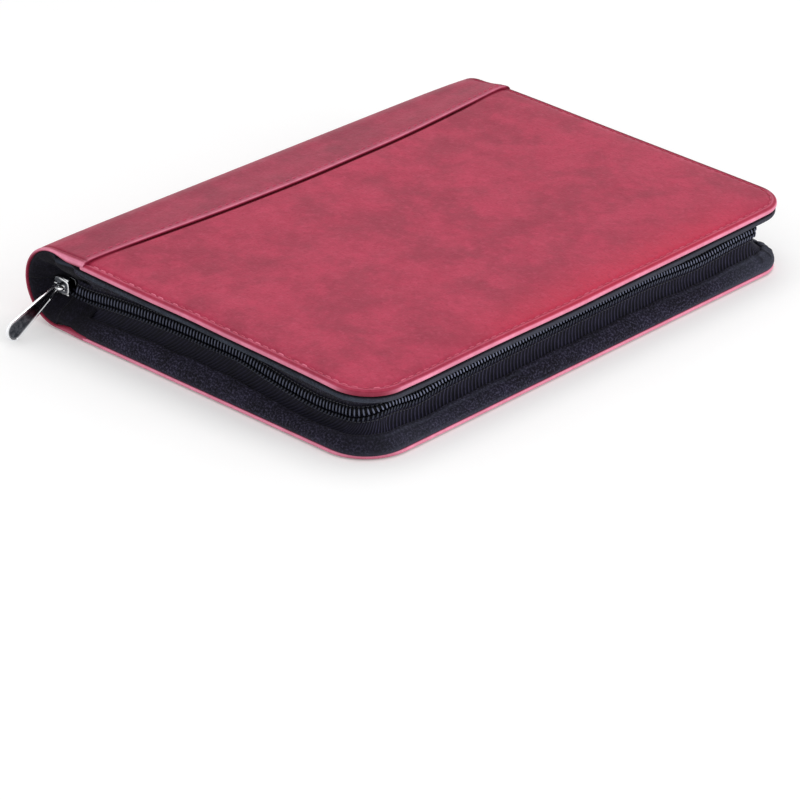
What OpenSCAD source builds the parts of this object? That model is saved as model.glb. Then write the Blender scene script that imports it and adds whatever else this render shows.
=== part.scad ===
// Zip-round portfolio case for A5 paper.
// The case lies flat on its back cover with the spine on the left (-X), the
// open edge on the right (+X) and the spine running along Y.
// The origin is the centre of the footprint, on the surface it lies on.

/* [Case] */
// Width from the spine to the open edge
case_w = 184; // [150:1:260]
// Length along the spine
case_l = 240; // [200:1:340]
// Radius that the spine is rounded to
spine_r = 17.2; // [16.5:0.1:19]
// Height of the front cover's underside at the open edge
edge_gap_z = 26.5; // [25:0.1:28]
// Corner radius of the front cover
front_corner_r = 17; // [14:0.5:18.5]
// Corner radius of the back cover
back_corner_r = 20; // [18.5:0.5:24]

/* [Covers] */
// Thickness of the front cover at its edge
front_t = 2.8; // [2.4:0.1:4]
// Thickness of the back cover at its edge
back_t = 2.3; // [2.2:0.1:4]
// Thickness of the leather
leather_t = 0.8; // [0.6:0.1:1]
// Width of the leather turned over each edge
turn_in = 1.4; // [1:0.1:3]
// Thickness of the lining cloth
lining_t = 0.4; // [0.2:0.1:0.5]
// Thickness of the card boards
board_t = 0.8; // [0.6:0.1:0.9]

/* [Spine strip] */
// Where the strip's lip lies on each cover
lip_x = -57; // [-62:0.5:-50]
// How far the strip stands above the front cover
lip_step = 0.4; // [0.2:0.1:0.8]
// Angle of the spine's middle part, between its two fold lines
spine_mid_angle = 88; // [80:0.5:89]
// Distance in from the case's end to the cloth that closes the spine
end_gusset_inset = 12.2; // [12:0.1:20]

/* [Zip] */
// Height of the line where the two rows of teeth meet
zip_z = 15.2; // [14.8:0.1:15.6]
// Distance in from the case's edge to the face of the zip tape
tape_inset = 9.4; // [9.2:0.1:9.8]
// Thickness of the zip tape
tape_t = 0.6; // [0.4:0.1:0.7]
// Height of one row of teeth
coil_h = 1.8; // [1.5:0.1:1.9]
// Thickness of a row of teeth
coil_t = 1.3; // [1:0.1:1.4]
// Gap between the two rows, in which the slider's wedge runs
coil_gap = 1.2; // [1:0.1:1.4]
// Thickness of the gusset cloth
gusset_t = 1; // [0.6:0.1:1.2]

/* [Slider] */
// Left end of the slider with the zip closed
slider_x = -82; // [-82.5:0.5:-81.5]
// Length of the slider
slider_l = 8.5; // [8:0.1:8.8]
// Height of the slider
slider_h = 7.6; // [7.6:0.1:8]
// Thickness of the slider's plates
plate_t = 1.1; // [0.8:0.1:1.2]
// Radius of the bar that the pull hangs on
bar_r = 0.65; // [0.5:0.05:0.7]
// Clearance round that bar
pull_play = 0.2; // [0.1:0.05:0.25]
// Length of the pull from its pivot to its tip
pull_l = 28.3; // [20:0.1:28.4]
// Width of the pull's round end
pull_w = 8.6; // [6:0.1:8.8]
// Width of the pull's head
pull_head_w = 3.4; // [3.2:0.1:3.8]
// Thickness of the pull
pull_t = 1.3; // [1:0.1:1.6]
// How far the pull leans out from hanging straight down
pull_lean = 64; // [64:1:80]

/* [Inside] */
// Bore of the pen loop
pen_bore_r = 5.6; // [4:0.1:6]
// Length of the pen loop
pen_loop_l = 46; // [20:1:60]
// Thickness of the pocket cloth
pocket_t = 0.6; // [0.4:0.1:0.8]
// Width of a card pocket
card_w = 92; // [88:1:100]
// Height of a card pocket
card_h = 52; // [40:1:58]
// Step from one card pocket to the next
card_step = 14; // [8:1:16]

/* [Hidden] */

$fn = 64;
clear = 0.3;                                    // room between pieces that pass each other
half_w = case_w / 2;
half_l = case_l / 2;

// Covers and spine
spine_x = spine_r - half_w;                     // axis of the rounded spine
spine_gap_z = 2 * spine_r - front_t - lip_step; // front cover's underside over that axis
tilt = atan((spine_gap_z - edge_gap_z) / (half_w - spine_x));
back_board_z = back_t - lining_t - board_t;
lap_angle = 89 - spine_mid_angle / 2;           // part of the round that each cover carries
round_steps = 24;
lining_angle = 68;
end_gusset_w = 8.8;

// Fabric walls: [distance in from the edge, height]
wall_r = (front_corner_r + back_corner_r) / 2;
fold_point = [5.8, 8.85];                       // where the lower wall is sewn to its tape
lower_gusset_line = [[0.8, back_t], [0.8, 4.2], [1.2, 5.9], [2.7, 7.4], fold_point];
lower_tape_line = [fold_point, [8.6, 10.16], [tape_inset, 11], [tape_inset, zip_z - coil_gap / 2]];
upper_tape_top = zip_z + 4.4;
upper_tape_line = [[tape_inset, zip_z + coil_gap / 2], [tape_inset, upper_tape_top]];
upper_gusset_line = [[tape_inset, 0], [tape_inset, 0.06], [6, 0.26], [2.2, 0.54],
    [0.8, 0.8], [0.8, 1]];                      // heights as shares of the wall's height
corner_steps = 6;

// Zip
coil_inset = tape_inset - coil_t;
function coil_outline(z) = [[coil_inset, z], [tape_inset, z], [tape_inset, z + coil_h], [coil_inset, z + coil_h]];
back_start_x = -84;                             // the lower tape runs on behind the slider
front_start_x = -69;                            // the upper one starts clear of the slider
far_zip_x = -71;
stop_size = [3, 2.4, 4.8];

// Slider and pull
outer_plate = coil_inset - clear - 0.1 - plate_t;
inner_plate = tape_inset + tape_t + clear + 0.05;
slider_round = 1.8;
slider_lip = 1;
bridge_x = [1.2, 5.4];                          // the bridge's two legs, from the slider's end
bridge_leg = 1.2;
pivot_x = slider_x + (bridge_x[0] + bridge_x[1] + bridge_leg) / 2;
pivot_y = outer_plate - half_l - pull_head_w / 2 - clear - 0.05;
pull_reach = pull_l - pull_w / 2;

// Inside
pen_x = -58;
pocket_margin = 16;                             // from the case's ends to the pockets
pocket_edge = 5;                                // from the open edge to the pockets
document_x = -44;
sleeve_x = 0;
card_x = 28;
card_y = 4;

leather_red = [0.70, 0.25, 0.35];
tape_black = [0.14, 0.15, 0.19];
cloth_black = [0.17, 0.18, 0.23];
lining_black = [0.11, 0.11, 0.13];
card_grey = [0.55, 0.52, 0.47];
foam_grey = [0.75, 0.75, 0.72];
chrome = [0.80, 0.81, 0.84];

// ---- Shared shapes ----

// Height of the front cover's underside at x.
function cover_z(x) = edge_gap_z + (half_w - x) * tan(tilt);

// Plan of a cover: square at the spine side, round at the two free corners.
module cover_plan(start_x, inset, corner_r) {
    r = corner_r - inset;
    end_x = half_w - inset;
    end_y = half_l - inset;
    translate([start_x, -end_y]) square([end_x - r - start_x, 2 * end_y]);
    translate([start_x, r - end_y]) square([end_x - start_x, 2 * (end_y - r)]);
    for (side = [-1, 1]) translate([end_x - r, side * (end_y - r)]) circle(r);
}

module cover_layer(start_x, inset, corner_r, low_z, high_z)
    translate([0, 0, low_z]) linear_extrude(high_z - low_z) cover_plan(start_x, inset, corner_r);

// Places a shape drawn in the front cover's own frame, where z = 0 is its underside.
module on_front_cover()
    translate([half_w, 0, edge_gap_z]) rotate([0, tilt, 0]) translate([-half_w, 0, 0]) children();

// The same for one [x, z] point.
function on_cover(x, z) = [
    half_w + (x - half_w) * cos(tilt) + z * sin(tilt),
    edge_gap_z - (x - half_w) * sin(tilt) + z * cos(tilt)];

// Outline of a wall of thickness t. Points are [inset, height], and the inner line is
// the outer one moved along its normals, towards the inside of the case.
function wall_normal(line, i) =
    let (a = line[max(i - 1, 0)], b = line[min(i + 1, len(line) - 1)], d = b - a)
    [d[1], -d[0]] / norm(d);
function wall_outline(line, t) = concat(line,
    [for (i = [len(line) - 1 : -1 : 0]) line[i] + t * wall_normal(line, i)]);

// Carries an outline of [inset, height] points along the case's three open sides.
module round_the_case(outline, near_x, far_x) {
    corner_x = half_w - wall_r;
    corner_y = half_l - wall_r;
    rail = [for (p = outline) [wall_r - p[0], p[1]]];
    mirror([0, 1, 0]) translate([near_x, corner_y, 0])
        rotate([90, 0, 90]) linear_extrude(corner_x - near_x) polygon(rail);
    translate([far_x, corner_y, 0])
        rotate([90, 0, 90]) linear_extrude(corner_x - far_x) polygon(rail);
    for (side = [0, 1]) mirror([0, side, 0]) translate([corner_x, corner_y, 0])
        rotate_extrude(angle = 90) polygon(rail);
    translate([corner_x, corner_y, 0]) rotate([90, 0, 0]) linear_extrude(2 * corner_y) polygon(rail);
}

// Arc of the rounded spine, from +X towards +Z, over the length that inset leaves.
module spine_round(inner_r, outer_r, from_angle, to_angle, inset)
    translate([spine_x, half_l - inset, spine_r]) rotate([90, 0, 0]) rotate([0, 0, from_angle])
        rotate_extrude(angle = to_angle - from_angle)
            translate([inner_r, 0]) square([outer_r - inner_r, case_l - 2 * inset]);

// Outline of the strip where it leaves a cover: [x, z] points along the round's outside,
// then the lap's, then back along the round's inside.
function round_points(r, from_angle, to_angle) = [for (i = [0 : round_steps])
    let (a = from_angle + (to_angle - from_angle) * i / round_steps)
    [spine_x + r * cos(a), spine_r + r * sin(a)]];
function strip_outline(from_angle, to_angle, lap) = concat(
    round_points(spine_r, from_angle, to_angle), lap,
    round_points(spine_r - leather_t, to_angle, from_angle));

// Carries an outline of [x, z] points along the whole spine.
module along_spine(outline)
    translate([0, half_l, 0]) rotate([90, 0, 0]) linear_extrude(case_l) polygon(outline);

// Rectangle with round corners, centred.
module rounded_rect(size, r) {
    square([size[0] - 2 * r, size[1]], center = true);
    square([size[0], size[1] - 2 * r], center = true);
    for (i = [-1, 1], j = [-1, 1])
        translate([i * (size[0] / 2 - r), j * (size[1] / 2 - r)]) circle(r);
}

// Shape drawn on the near side's face: X stays X, Y turns up, from inset a in to inset b.
module on_near_side(a, b)
    translate([0, b - half_l, 0]) rotate([90, 0, 0]) linear_extrude(b - a) children();

// ---- Back half ----

// Leather over the face, turned in round the edge.
module back_leather() color(leather_red) difference() {
    cover_layer(lip_x, 0, back_corner_r, 0, back_t);
    cover_layer(lip_x - 1, turn_in, back_corner_r, leather_t, back_t + 1);
}

module back_foam() color(foam_grey)
    cover_layer(spine_x, turn_in, back_corner_r, leather_t, back_board_z);

module back_board() color(card_grey)
    cover_layer(spine_x, turn_in, back_corner_r, back_board_z, back_t - lining_t);

module back_lining() color(lining_black)
    cover_layer(spine_x, turn_in, back_corner_r, back_t - lining_t, back_t);

// The strip's lower part: the start of the round and a lap over the cover, with its ends
// turned in as the cover's are.
module back_spine_lap() color(leather_red) {
    along_spine(strip_outline(270 - lap_angle, 270, [[lip_x, 0], [lip_x, leather_t]]));
    for (y = [-half_l, half_l - turn_in])
        translate([spine_x, y, leather_t / 2])
            cube([lip_x - spine_x, turn_in, back_t - leather_t / 2]);
}

// Fuller fabric wall: it rises from the cover's edge, then folds in to the zip.
module lower_gusset() color(cloth_black)
    round_the_case(wall_outline(lower_gusset_line, gusset_t), spine_x, spine_x);

module lower_zip_tape() color(tape_black)
    round_the_case(wall_outline(lower_tape_line, tape_t), back_start_x, far_zip_x);

module lower_zip_coil() color(tape_black)
    round_the_case(coil_outline(zip_z - coil_gap / 2 - coil_h), back_start_x, far_zip_x);

// Stop that closes the far end of the zip.
module zip_end_stop() color(chrome)
    translate([far_zip_x - clear - stop_size[0], half_l - tape_inset - stop_size[1] / 2,
        zip_z - stop_size[2] / 2]) cube(stop_size);

// Cloth sleeve for the writing pad's backing card.
module notepad_sleeve() color(lining_black)
    translate([sleeve_x, pocket_margin - half_l, back_t])
        cube([half_w - pocket_edge - sleeve_x, case_l - 2 * pocket_margin, pocket_t]);

module pen_loop() color(leather_red) {
    outer_r = pen_bore_r + gusset_t;
    translate([pen_x, pen_loop_l / 2, back_t + outer_r]) rotate([90, 0, 0])
        linear_extrude(pen_loop_l) difference() {
            union() {
                circle(outer_r);
                translate([-outer_r, -outer_r]) square([2 * outer_r, gusset_t]);
            }
            circle(pen_bore_r);
        }
}

// ---- Spine ----

module spine_leather() color(leather_red)
    spine_round(spine_r - leather_t, spine_r, 180 - spine_mid_angle / 2, 180 + spine_mid_angle / 2, 0);

module spine_lining() color(lining_black)
    spine_round(spine_r - leather_t - clear - lining_t, spine_r - leather_t - clear,
        180 - lining_angle, 180 + lining_angle, end_gusset_inset + 2 * gusset_t);

// D-shaped cloth that closes one end of the spine.
module end_gusset(low_y) translate([0, low_y + gusset_t, 0]) rotate([90, 0, 0])
    linear_extrude(gusset_t) intersection() {
        union() {
            translate([spine_x, spine_r]) circle(spine_r - 2);
            translate([spine_x, 0]) square([end_gusset_w, 2 * spine_r]);
        }
        translate([-half_w, back_t + clear])
            square([case_w, cover_z(spine_x + end_gusset_w) - back_t - 2 * clear]);
    }

module end_gusset_near() color(cloth_black) end_gusset(end_gusset_inset - half_l);

module end_gusset_far() color(cloth_black) end_gusset(half_l - end_gusset_inset - gusset_t);

// ---- Front half ----

module front_leather() color(leather_red) on_front_cover() difference() {
    cover_layer(lip_x, 0, front_corner_r, 0, front_t);
    cover_layer(lip_x - 1, turn_in, front_corner_r, -1, front_t - leather_t);
}

module front_foam() color(foam_grey) on_front_cover()
    cover_layer(spine_x, turn_in, front_corner_r, lining_t + board_t, front_t - leather_t);

module front_board() color(card_grey) on_front_cover()
    cover_layer(spine_x, turn_in, front_corner_r, lining_t, lining_t + board_t);

module front_lining() color(lining_black) on_front_cover()
    cover_layer(spine_x, turn_in, front_corner_r, 0, lining_t);

// The strip's upper part: it laps over the cover and ends in a stitched lip.
module front_spine_lap() color(leather_red) {
    along_spine(strip_outline(90 + lap_angle, 90, [
        on_cover(lip_x, front_t + lip_step), on_cover(lip_x, front_t - leather_t),
        on_cover(spine_x, front_t - leather_t)]));
    on_front_cover() for (y = [-half_l, half_l - turn_in])
        translate([spine_x, y, 0])
            cube([lip_x - spine_x, turn_in, front_t - leather_t / 2]);
}

// Points of the path round the open sides: [arc centre or straight, outward direction].
function corner_path(side) = [for (i = [0 : corner_steps])
    let (a = side * 90 * (1 - i / corner_steps))
    [[half_w - wall_r, side * (half_l - wall_r)], [cos(a), sin(a)]]];
function reversed(list) = [for (i = [len(list) - 1 : -1 : 0]) list[i]];
function open_side_path(start_x) = concat(
    [[[start_x, wall_r - half_l], [0, -1]]], corner_path(-1), reversed(corner_path(1)),
    [[[start_x, half_l - wall_r], [0, 1]]]);

// Ring of the upper wall where it leaves the path: its line's heights are shares of the
// space between the tape and the cover above that point.
function upper_ring(at) =
    let (line = [for (q = upper_gusset_line)
            let (x = at[0][0] + at[1][0] * (wall_r - q[0]))
            [q[0], upper_tape_top + q[1] * (cover_z(x) - upper_tape_top)]])
    [for (p = wall_outline(line, gusset_t))
        [at[0][0] + at[1][0] * (wall_r - p[0]), at[0][1] + at[1][1] * (wall_r - p[0]), p[1]]];

// The upper wall deepens towards the spine, because the front cover slopes.
module upper_gusset() color(cloth_black) {
    rings = [for (at = open_side_path(front_start_x)) upper_ring(at)];
    side_count = len(rings[0]);
    last = len(rings) - 1;
    faces = [for (i = [0 : last - 1], j = [0 : side_count - 1])
        let (k = (j + 1) % side_count)
        each [[i * side_count + j, (i + 1) * side_count + j, (i + 1) * side_count + k],
              [i * side_count + j, (i + 1) * side_count + k, i * side_count + k]]];
    start_face = [for (j = [0 : side_count - 1]) j];
    end_face = [for (j = [side_count - 1 : -1 : 0]) last * side_count + j];
    polyhedron([for (ring = rings) each ring], concat(faces, [start_face, end_face]));
}

module upper_zip_tape() color(tape_black)
    round_the_case(wall_outline(upper_tape_line, tape_t), front_start_x, front_start_x);

module upper_zip_coil() color(tape_black)
    round_the_case(coil_outline(zip_z + coil_gap / 2), front_start_x, front_start_x);

module document_pocket() color(lining_black) on_front_cover()
    translate([document_x, pocket_margin - half_l, -pocket_t])
        cube([half_w - pocket_edge - document_x, case_l - 2 * pocket_margin, pocket_t]);

// Card pockets lie in steps on the document pocket, the first one nearest the edge.
module card_pocket(i) color(lining_black) on_front_cover()
    translate([card_x - i * card_step, pocket_margin + card_y - half_l, -pocket_t * (i + 1)])
        cube([card_h, card_w, pocket_t]);

module card_pocket_1() card_pocket(1);
module card_pocket_2() card_pocket(2);
module card_pocket_3() card_pocket(3);

// ---- Slider and pull ----

// Two plates joined by a wedge, with lips that fold in over the teeth.
module slider_body() color(chrome) {
    mid_x = slider_x + slider_l / 2;
    on_near_side(outer_plate, outer_plate + plate_t)
        translate([mid_x, zip_z]) rounded_rect([slider_l, slider_h], slider_round);
    on_near_side(inner_plate, inner_plate + plate_t)
        translate([mid_x, zip_z]) rounded_rect([slider_l, slider_h], slider_round);
    for (side = [-1, 1])
        on_near_side(outer_plate + plate_t - 0.1, tape_inset - clear)
            translate([mid_x, zip_z + side * (slider_h - slider_lip) / 2])
                square([slider_l - 2 * slider_round, slider_lip], center = true);
    on_near_side(outer_plate + 0.1, inner_plate + 0.1)
        translate([slider_x + slider_round, zip_z])
            square([slider_round, coil_gap - 2 * clear], center = true);
}

// Loop on the slider's face that the pull hangs from.
module slider_bridge() color(chrome) {
    for (x = bridge_x) translate([slider_x + x, pivot_y, zip_z - bar_r])
        cube([bridge_leg, outer_plate - half_l - pivot_y, 2 * bar_r]);
    translate([slider_x + bridge_x[0], pivot_y, zip_z]) rotate([0, 90, 0])
        cylinder(h = bridge_x[1] - bridge_x[0] + bridge_leg, r = bar_r);
}

// Long tongue that widens to a round end and swings on the bridge.
module pull_tab() color(chrome)
    translate([pivot_x - pull_t / 2, pivot_y, zip_z]) rotate([-pull_lean, 0, 0])
        rotate([90, 0, 90]) difference() {
            linear_extrude(pull_t) hull() {
                circle(pull_head_w / 2, $fn = 32);
                translate([0, -pull_reach]) circle(pull_w / 2, $fn = 32);
            }
            translate([0, 0, -1]) cylinder(h = pull_t + 2, r = bar_r + pull_play);
        }

back_leather();
back_foam();
back_board();
back_lining();
back_spine_lap();
lower_gusset();
lower_zip_tape();
lower_zip_coil();
zip_end_stop();
notepad_sleeve();
pen_loop();
spine_leather();
spine_lining();
end_gusset_near();
end_gusset_far();
front_leather();
front_foam();
front_board();
front_lining();
front_spine_lap();
upper_gusset();
upper_zip_tape();
upper_zip_coil();
document_pocket();
card_pocket_1();
card_pocket_2();
card_pocket_3();
slider_body();
slider_bridge();
pull_tab();
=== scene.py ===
import math
import bmesh
import bpy
import numpy as np
from mathutils import Matrix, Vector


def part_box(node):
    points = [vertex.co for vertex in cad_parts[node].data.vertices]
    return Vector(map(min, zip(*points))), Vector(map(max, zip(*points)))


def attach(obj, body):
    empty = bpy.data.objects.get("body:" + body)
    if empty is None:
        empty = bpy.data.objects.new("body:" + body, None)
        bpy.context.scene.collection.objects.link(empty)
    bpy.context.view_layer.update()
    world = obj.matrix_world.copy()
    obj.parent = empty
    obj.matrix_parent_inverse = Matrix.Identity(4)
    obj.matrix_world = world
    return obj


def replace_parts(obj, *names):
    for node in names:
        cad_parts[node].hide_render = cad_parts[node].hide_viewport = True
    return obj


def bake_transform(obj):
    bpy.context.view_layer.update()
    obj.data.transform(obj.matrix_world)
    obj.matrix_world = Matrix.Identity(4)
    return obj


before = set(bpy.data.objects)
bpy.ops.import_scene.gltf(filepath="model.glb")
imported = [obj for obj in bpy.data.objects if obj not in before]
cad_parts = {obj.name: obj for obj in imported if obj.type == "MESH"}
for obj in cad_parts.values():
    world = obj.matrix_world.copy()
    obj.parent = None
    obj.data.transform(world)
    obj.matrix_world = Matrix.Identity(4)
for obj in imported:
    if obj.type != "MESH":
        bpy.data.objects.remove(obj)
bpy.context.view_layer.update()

# A zip-round portfolio case. Shapes are worked out in millimetres in the frame's own axes:
# +X from the spine to the open edge, +Y along the spine, +Z up.
mm = 0.001


def corners(node):
    # A node's box in millimetres: its low corner and its high corner
    return np.array(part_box(node)) / mm


case = {
    "frontT": 2.8,                # front cover's thickness at its sewn edge
    "backT": 2.3,                 # back cover's thickness
    "lipStep": 0.4,               # how far the spine strip stands above the cover
    "frontCorner": (17.0, 15.0),  # corner radii of the front cover, near and far
    "backCorner": (20.0, 15.0),   # of the back cover
    "wallCorner": (18.5, 14.0),   # of the cloth walls
    "slack": (0.5, 0.8),          # how much smaller the roll is at its near and far end
    "slackReach": 14,             # over what length
}
halfW, halfL = corners("back_leather")[1, :2]
spineR = corners("front_spine_lap")[1, 2] / 2
edgeGapZ = corners("front_leather")[0, 2]         # front cover's underside at the open edge
zipZ = (corners("lower_zip_coil")[1, 2] + corners("upper_zip_coil")[0, 2]) / 2
spineX = spineR - halfW
spineGapZ = 2 * spineR - case["frontT"] - case["lipStep"]
tilt = math.atan((spineGapZ - edgeGapZ) / (halfW - spineX))


# Numbers and meshes

def smoothStep(t):
    # Ramp from 0 to 1, level at both ends: 3t^2 - 2t^3
    t = np.clip(t, 0, 1)
    return t * t * (3 - 2 * t)


def hump(distance, width):
    # Bell of height 1: e^-(distance / width)^2
    return np.exp(-(distance / width) ** 2)


def ripple(a, b, scale, seed, octaves=3):
    # Soft unevenness of size about 1: sines along random directions, each octave finer and weaker
    rng = np.random.default_rng(seed)
    total = np.zeros(np.broadcast(a, b).shape)
    for k in range(octaves):
        for _ in range(4):
            turn, phase = rng.uniform(0, 2 * math.pi, 2)
            rate = rng.uniform(0.7, 1.4) * 2 ** k / scale * 2 * math.pi
            total += np.sin((a * math.cos(turn) + b * math.sin(turn)) * rate + phase) / 2 ** k
    return total / 4


def softLine(at, places, values):
    # A smooth line through given values: the cubic with the mean slope at each value
    places, values = np.asarray(places, float), np.asarray(values, float)
    slope = np.gradient(values, places)
    k = np.clip(np.searchsorted(places, at) - 1, 0, len(places) - 2)
    step = places[k + 1] - places[k]
    t = np.clip((at - places[k]) / step, 0, 1)
    return ((2 * t**3 - 3 * t**2 + 1) * values[k] + (t**3 - 2 * t**2 + t) * step * slope[k]
            + (3 * t**2 - 2 * t**3) * values[k + 1] + (t**3 - t**2) * step * slope[k + 1])


def runAlong(points):
    # Length walked along a line of points, from its first
    return np.concatenate([[0], np.cumsum(np.linalg.norm(np.diff(points, axis=0), axis=1))])


def outlineNormals(outline):
    # A closed outline's outward directions: each point's two neighbours' line, turned a quarter
    along = np.roll(outline, -1, 0) - np.roll(outline, 1, 0)
    return np.stack([along[:, 1], -along[:, 0]], -1) / np.linalg.norm(along, axis=1)[:, None]


def gridFaces(rows, cols, closeRows=False, closeCols=False):
    # The quads of a grid of points that is numbered row by row
    i = np.arange(rows if closeRows else rows - 1)[:, None]
    j = np.arange(cols if closeCols else cols - 1)[None, :]
    i2, j2 = (i + 1) % rows, (j + 1) % cols
    return np.stack([i * cols + j, i2 * cols + j, i2 * cols + j2, i * cols + j2], -1).reshape(-1, 4)


def meshPiece(name, points, faces, uv=None, marks=None, angle=40, merge=True, outwards=True, fill=False):
    # An object at the origin from points in millimetres. Points that fall together are joined,
    # open ends may be filled, normals are turned outwards, and edges over the angle stay sharp.
    mesh = bpy.data.meshes.new(name)
    mesh.from_pydata((points * mm).tolist(), [], faces.tolist())
    for key, values in (marks or {}).items():
        mark = mesh.attributes.new(key, "FLOAT", "POINT")
        mark.data.foreach_set("value", np.broadcast_to(values, len(points)).astype(np.float32))
    if uv is not None:
        layer = mesh.uv_layers.new(name="flat")
        at = np.zeros(len(mesh.loops), np.int32)
        mesh.loops.foreach_get("vertex_index", at)
        layer.data.foreach_set("uv", (uv[at] * mm).astype(np.float32).ravel())
    work = bmesh.new()
    work.from_mesh(mesh)
    if merge:
        bmesh.ops.remove_doubles(work, verts=work.verts, dist=1e-6)
        bmesh.ops.dissolve_degenerate(work, edges=work.edges, dist=1e-6)
    if fill:
        bmesh.ops.holes_fill(work, edges=work.edges, sides=0)
    if outwards:
        bmesh.ops.recalc_face_normals(work, faces=work.faces)
    for face in work.faces:
        face.smooth = True
    for edge in work.edges:
        edge.smooth = len(edge.link_faces) != 2 or edge.calc_face_angle(0) < math.radians(angle)
    work.to_mesh(mesh)
    work.free()
    mesh.update()
    obj = bpy.data.objects.new(name, mesh)
    bpy.context.scene.collection.objects.link(obj)
    return obj


def gridPiece(name, grid, uv=None, marks=None, closeRows=False, closeCols=False, flip=False, **how):
    # A piece from a grid of points, rows x cols x 3
    faces = gridFaces(*grid.shape[:2], closeRows, closeCols)
    if flip:
        faces = faces[:, ::-1]
    flat = None if uv is None else np.broadcast_to(uv, grid.shape[:2] + (2,)).reshape(-1, 2)
    marks = {key: np.broadcast_to(v, grid.shape[:2]).ravel() for key, v in (marks or {}).items()}
    return meshPiece(name, grid.reshape(-1, 3), faces, flat, marks, **how)


def shellPiece(name, outer, inner, uv=None, **how):
    # A closed shell from two grids of the same size, joined round their four borders
    rows, cols = outer.shape[:2]
    index = np.arange(rows * cols).reshape(rows, cols)
    border = np.concatenate([index[0, :], index[1:, -1], index[-1, -2::-1], index[-2:0:-1, 0]])
    after = np.roll(border, -1)
    total = rows * cols
    faces = np.concatenate([gridFaces(rows, cols), gridFaces(rows, cols)[:, ::-1] + total,
                            np.stack([after, border, border + total, after + total], -1)])
    points = np.concatenate([outer.reshape(-1, 3), inner.reshape(-1, 3)])
    flat = None if uv is None else np.concatenate([uv.reshape(-1, 2)] * 2)
    return meshPiece(name, points, faces, flat, **how)


def thicken(obj, thick):
    # A sheet's thickness, laid on behind its face
    wall = obj.modifiers.new("thickness", "SOLIDIFY")
    wall.thickness, wall.offset = thick * mm, -1.0


def tube(path, radii, sides=6, up=(0, 0, 1)):
    # A round bar along a path: at each place a circle of the given radius across the path's direction
    path, radii = np.asarray(path, float), np.asarray(radii, float)
    along = np.gradient(path, axis=0)
    along /= np.linalg.norm(along, axis=1)[:, None]
    side = np.cross(along, np.asarray(up, float))
    side /= np.linalg.norm(side, axis=1)[:, None]
    turn = np.arange(sides) / sides * 2 * math.pi
    over = np.cross(side, along)
    ring = np.cos(turn)[None, :, None] * side[:, None] + np.sin(turn)[None, :, None] * over[:, None]
    return (path[:, None] + ring * radii[:, None, None]).reshape(-1, 3), gridFaces(len(path), sides, closeCols=True)


def stitchBar(halfLength, height, dip, radius, sides=6, steps=7, sharp=8):
    # One stitch: a thin bar that is level in its middle and dips at its ends, height - dip t^4,
    # where it also narrows to a point, radius (1 - t^sharp)
    t = np.linspace(-1, 1, steps)
    return tube(np.stack([t * halfLength, 0 * t, height - dip * t**4], -1), radius * (1 - t**sharp) + 0.01, sides,
                up=(0, 1, 0))


def manyPieces(name, shape, places, **how):
    # One mesh of the same small shape at many places, each an origin and three axes (n x 4 x 3)
    points, faces = shape
    moved = places[:, :1] + np.einsum("pa,nac->npc", points, places[:, 1:])
    every = (faces[None] + np.arange(len(places))[:, None, None] * len(points)).reshape(-1, 4)
    return meshPiece(name, moved.reshape(-1, 3), every, **how)


def alongPath(path, ups, pitch, start=0.0):
    # Places at an even pitch on a path, with axes along it, across it and up from it
    run = runAlong(path)
    at = np.arange(start + pitch / 2, run[-1], pitch)

    def onLine(values, place):
        # The values' straight-line reading at places along the path
        return np.stack([np.interp(place, run, values[:, k]) for k in range(3)], -1)

    along = onLine(path, at + pitch * 0.3) - onLine(path, at - pitch * 0.3)
    along /= np.linalg.norm(along, axis=1)[:, None]
    up = onLine(ups, at)
    up -= (up * along).sum(1)[:, None] * along
    up /= np.linalg.norm(up, axis=1)[:, None]
    return np.stack([onLine(path, at), along, np.cross(up, along), up], 1)


# The outline and the two covers' surfaces

lead = np.array([0, 0.5, 0.9, 1.2, 1.5, 1.8, 2.1, 2.4, 2.8, 3.3, 4.0])  # fine rows at the spine end of a side
pathSteps = {"side": 92, "corner": 16, "edge": 132}                       # rows along each part of the way


def openSides(inset, cornerR, farR, nearX, farX):
    # The near side, the open edge and the far side at given distances in from the outline,
    # with arcs at the two corners: a grid of plan points, one row per place along the way
    inset = np.atleast_1d(np.asarray(inset, float))[None, :]
    cornerR, farR, nearX, farX = (np.broadcast_to(np.asarray(v, float), inset.shape)
                                  for v in (cornerR, farR, nearX, farX))
    t, a, e = ((np.arange(1, pathSteps[k] + 1) / pathSteps[k])[:, None] for k in ("side", "corner", "edge"))
    a = a * math.pi / 2
    turnX, turnY, r = halfW - cornerR, halfL - cornerR, cornerR - inset
    farTurnX, farTurnY, s = halfW - farR, halfL - farR, farR - inset
    near, far = nearX + lead[-1], farX + lead[-1]
    x = [nearX + lead[:, None], near + t * (turnX - near), turnX + r * np.sin(a), halfW - inset + 0 * e,
         farTurnX + s * np.cos(a), farTurnX + t * (far - farTurnX), farX + lead[-2::-1, None]]
    y = [inset - halfL + 0 * lead[:, None], inset - halfL + 0 * t, -turnY - r * np.cos(a),
         -turnY + e * (turnY + farTurnY), farTurnY + s * np.sin(a), halfL - inset + 0 * t,
         halfL - inset + 0 * lead[:-1, None]]
    return np.stack([np.concatenate(x), np.concatenate(y)], -1)


def outwardAlong():
    # The outline's outward direction in plan at each of those places: it turns a quarter round each corner
    a = np.arange(1, pathSteps["corner"] + 1) / pathSteps["corner"] * math.pi / 2
    side = pathSteps["side"] + len(lead)
    angle = np.concatenate([np.full(side, -math.pi / 2), a - math.pi / 2, np.zeros(pathSteps["edge"]), a,
                            np.full(side - 1, math.pi / 2)])
    return np.stack([np.cos(angle), np.sin(angle)], -1)


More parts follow.
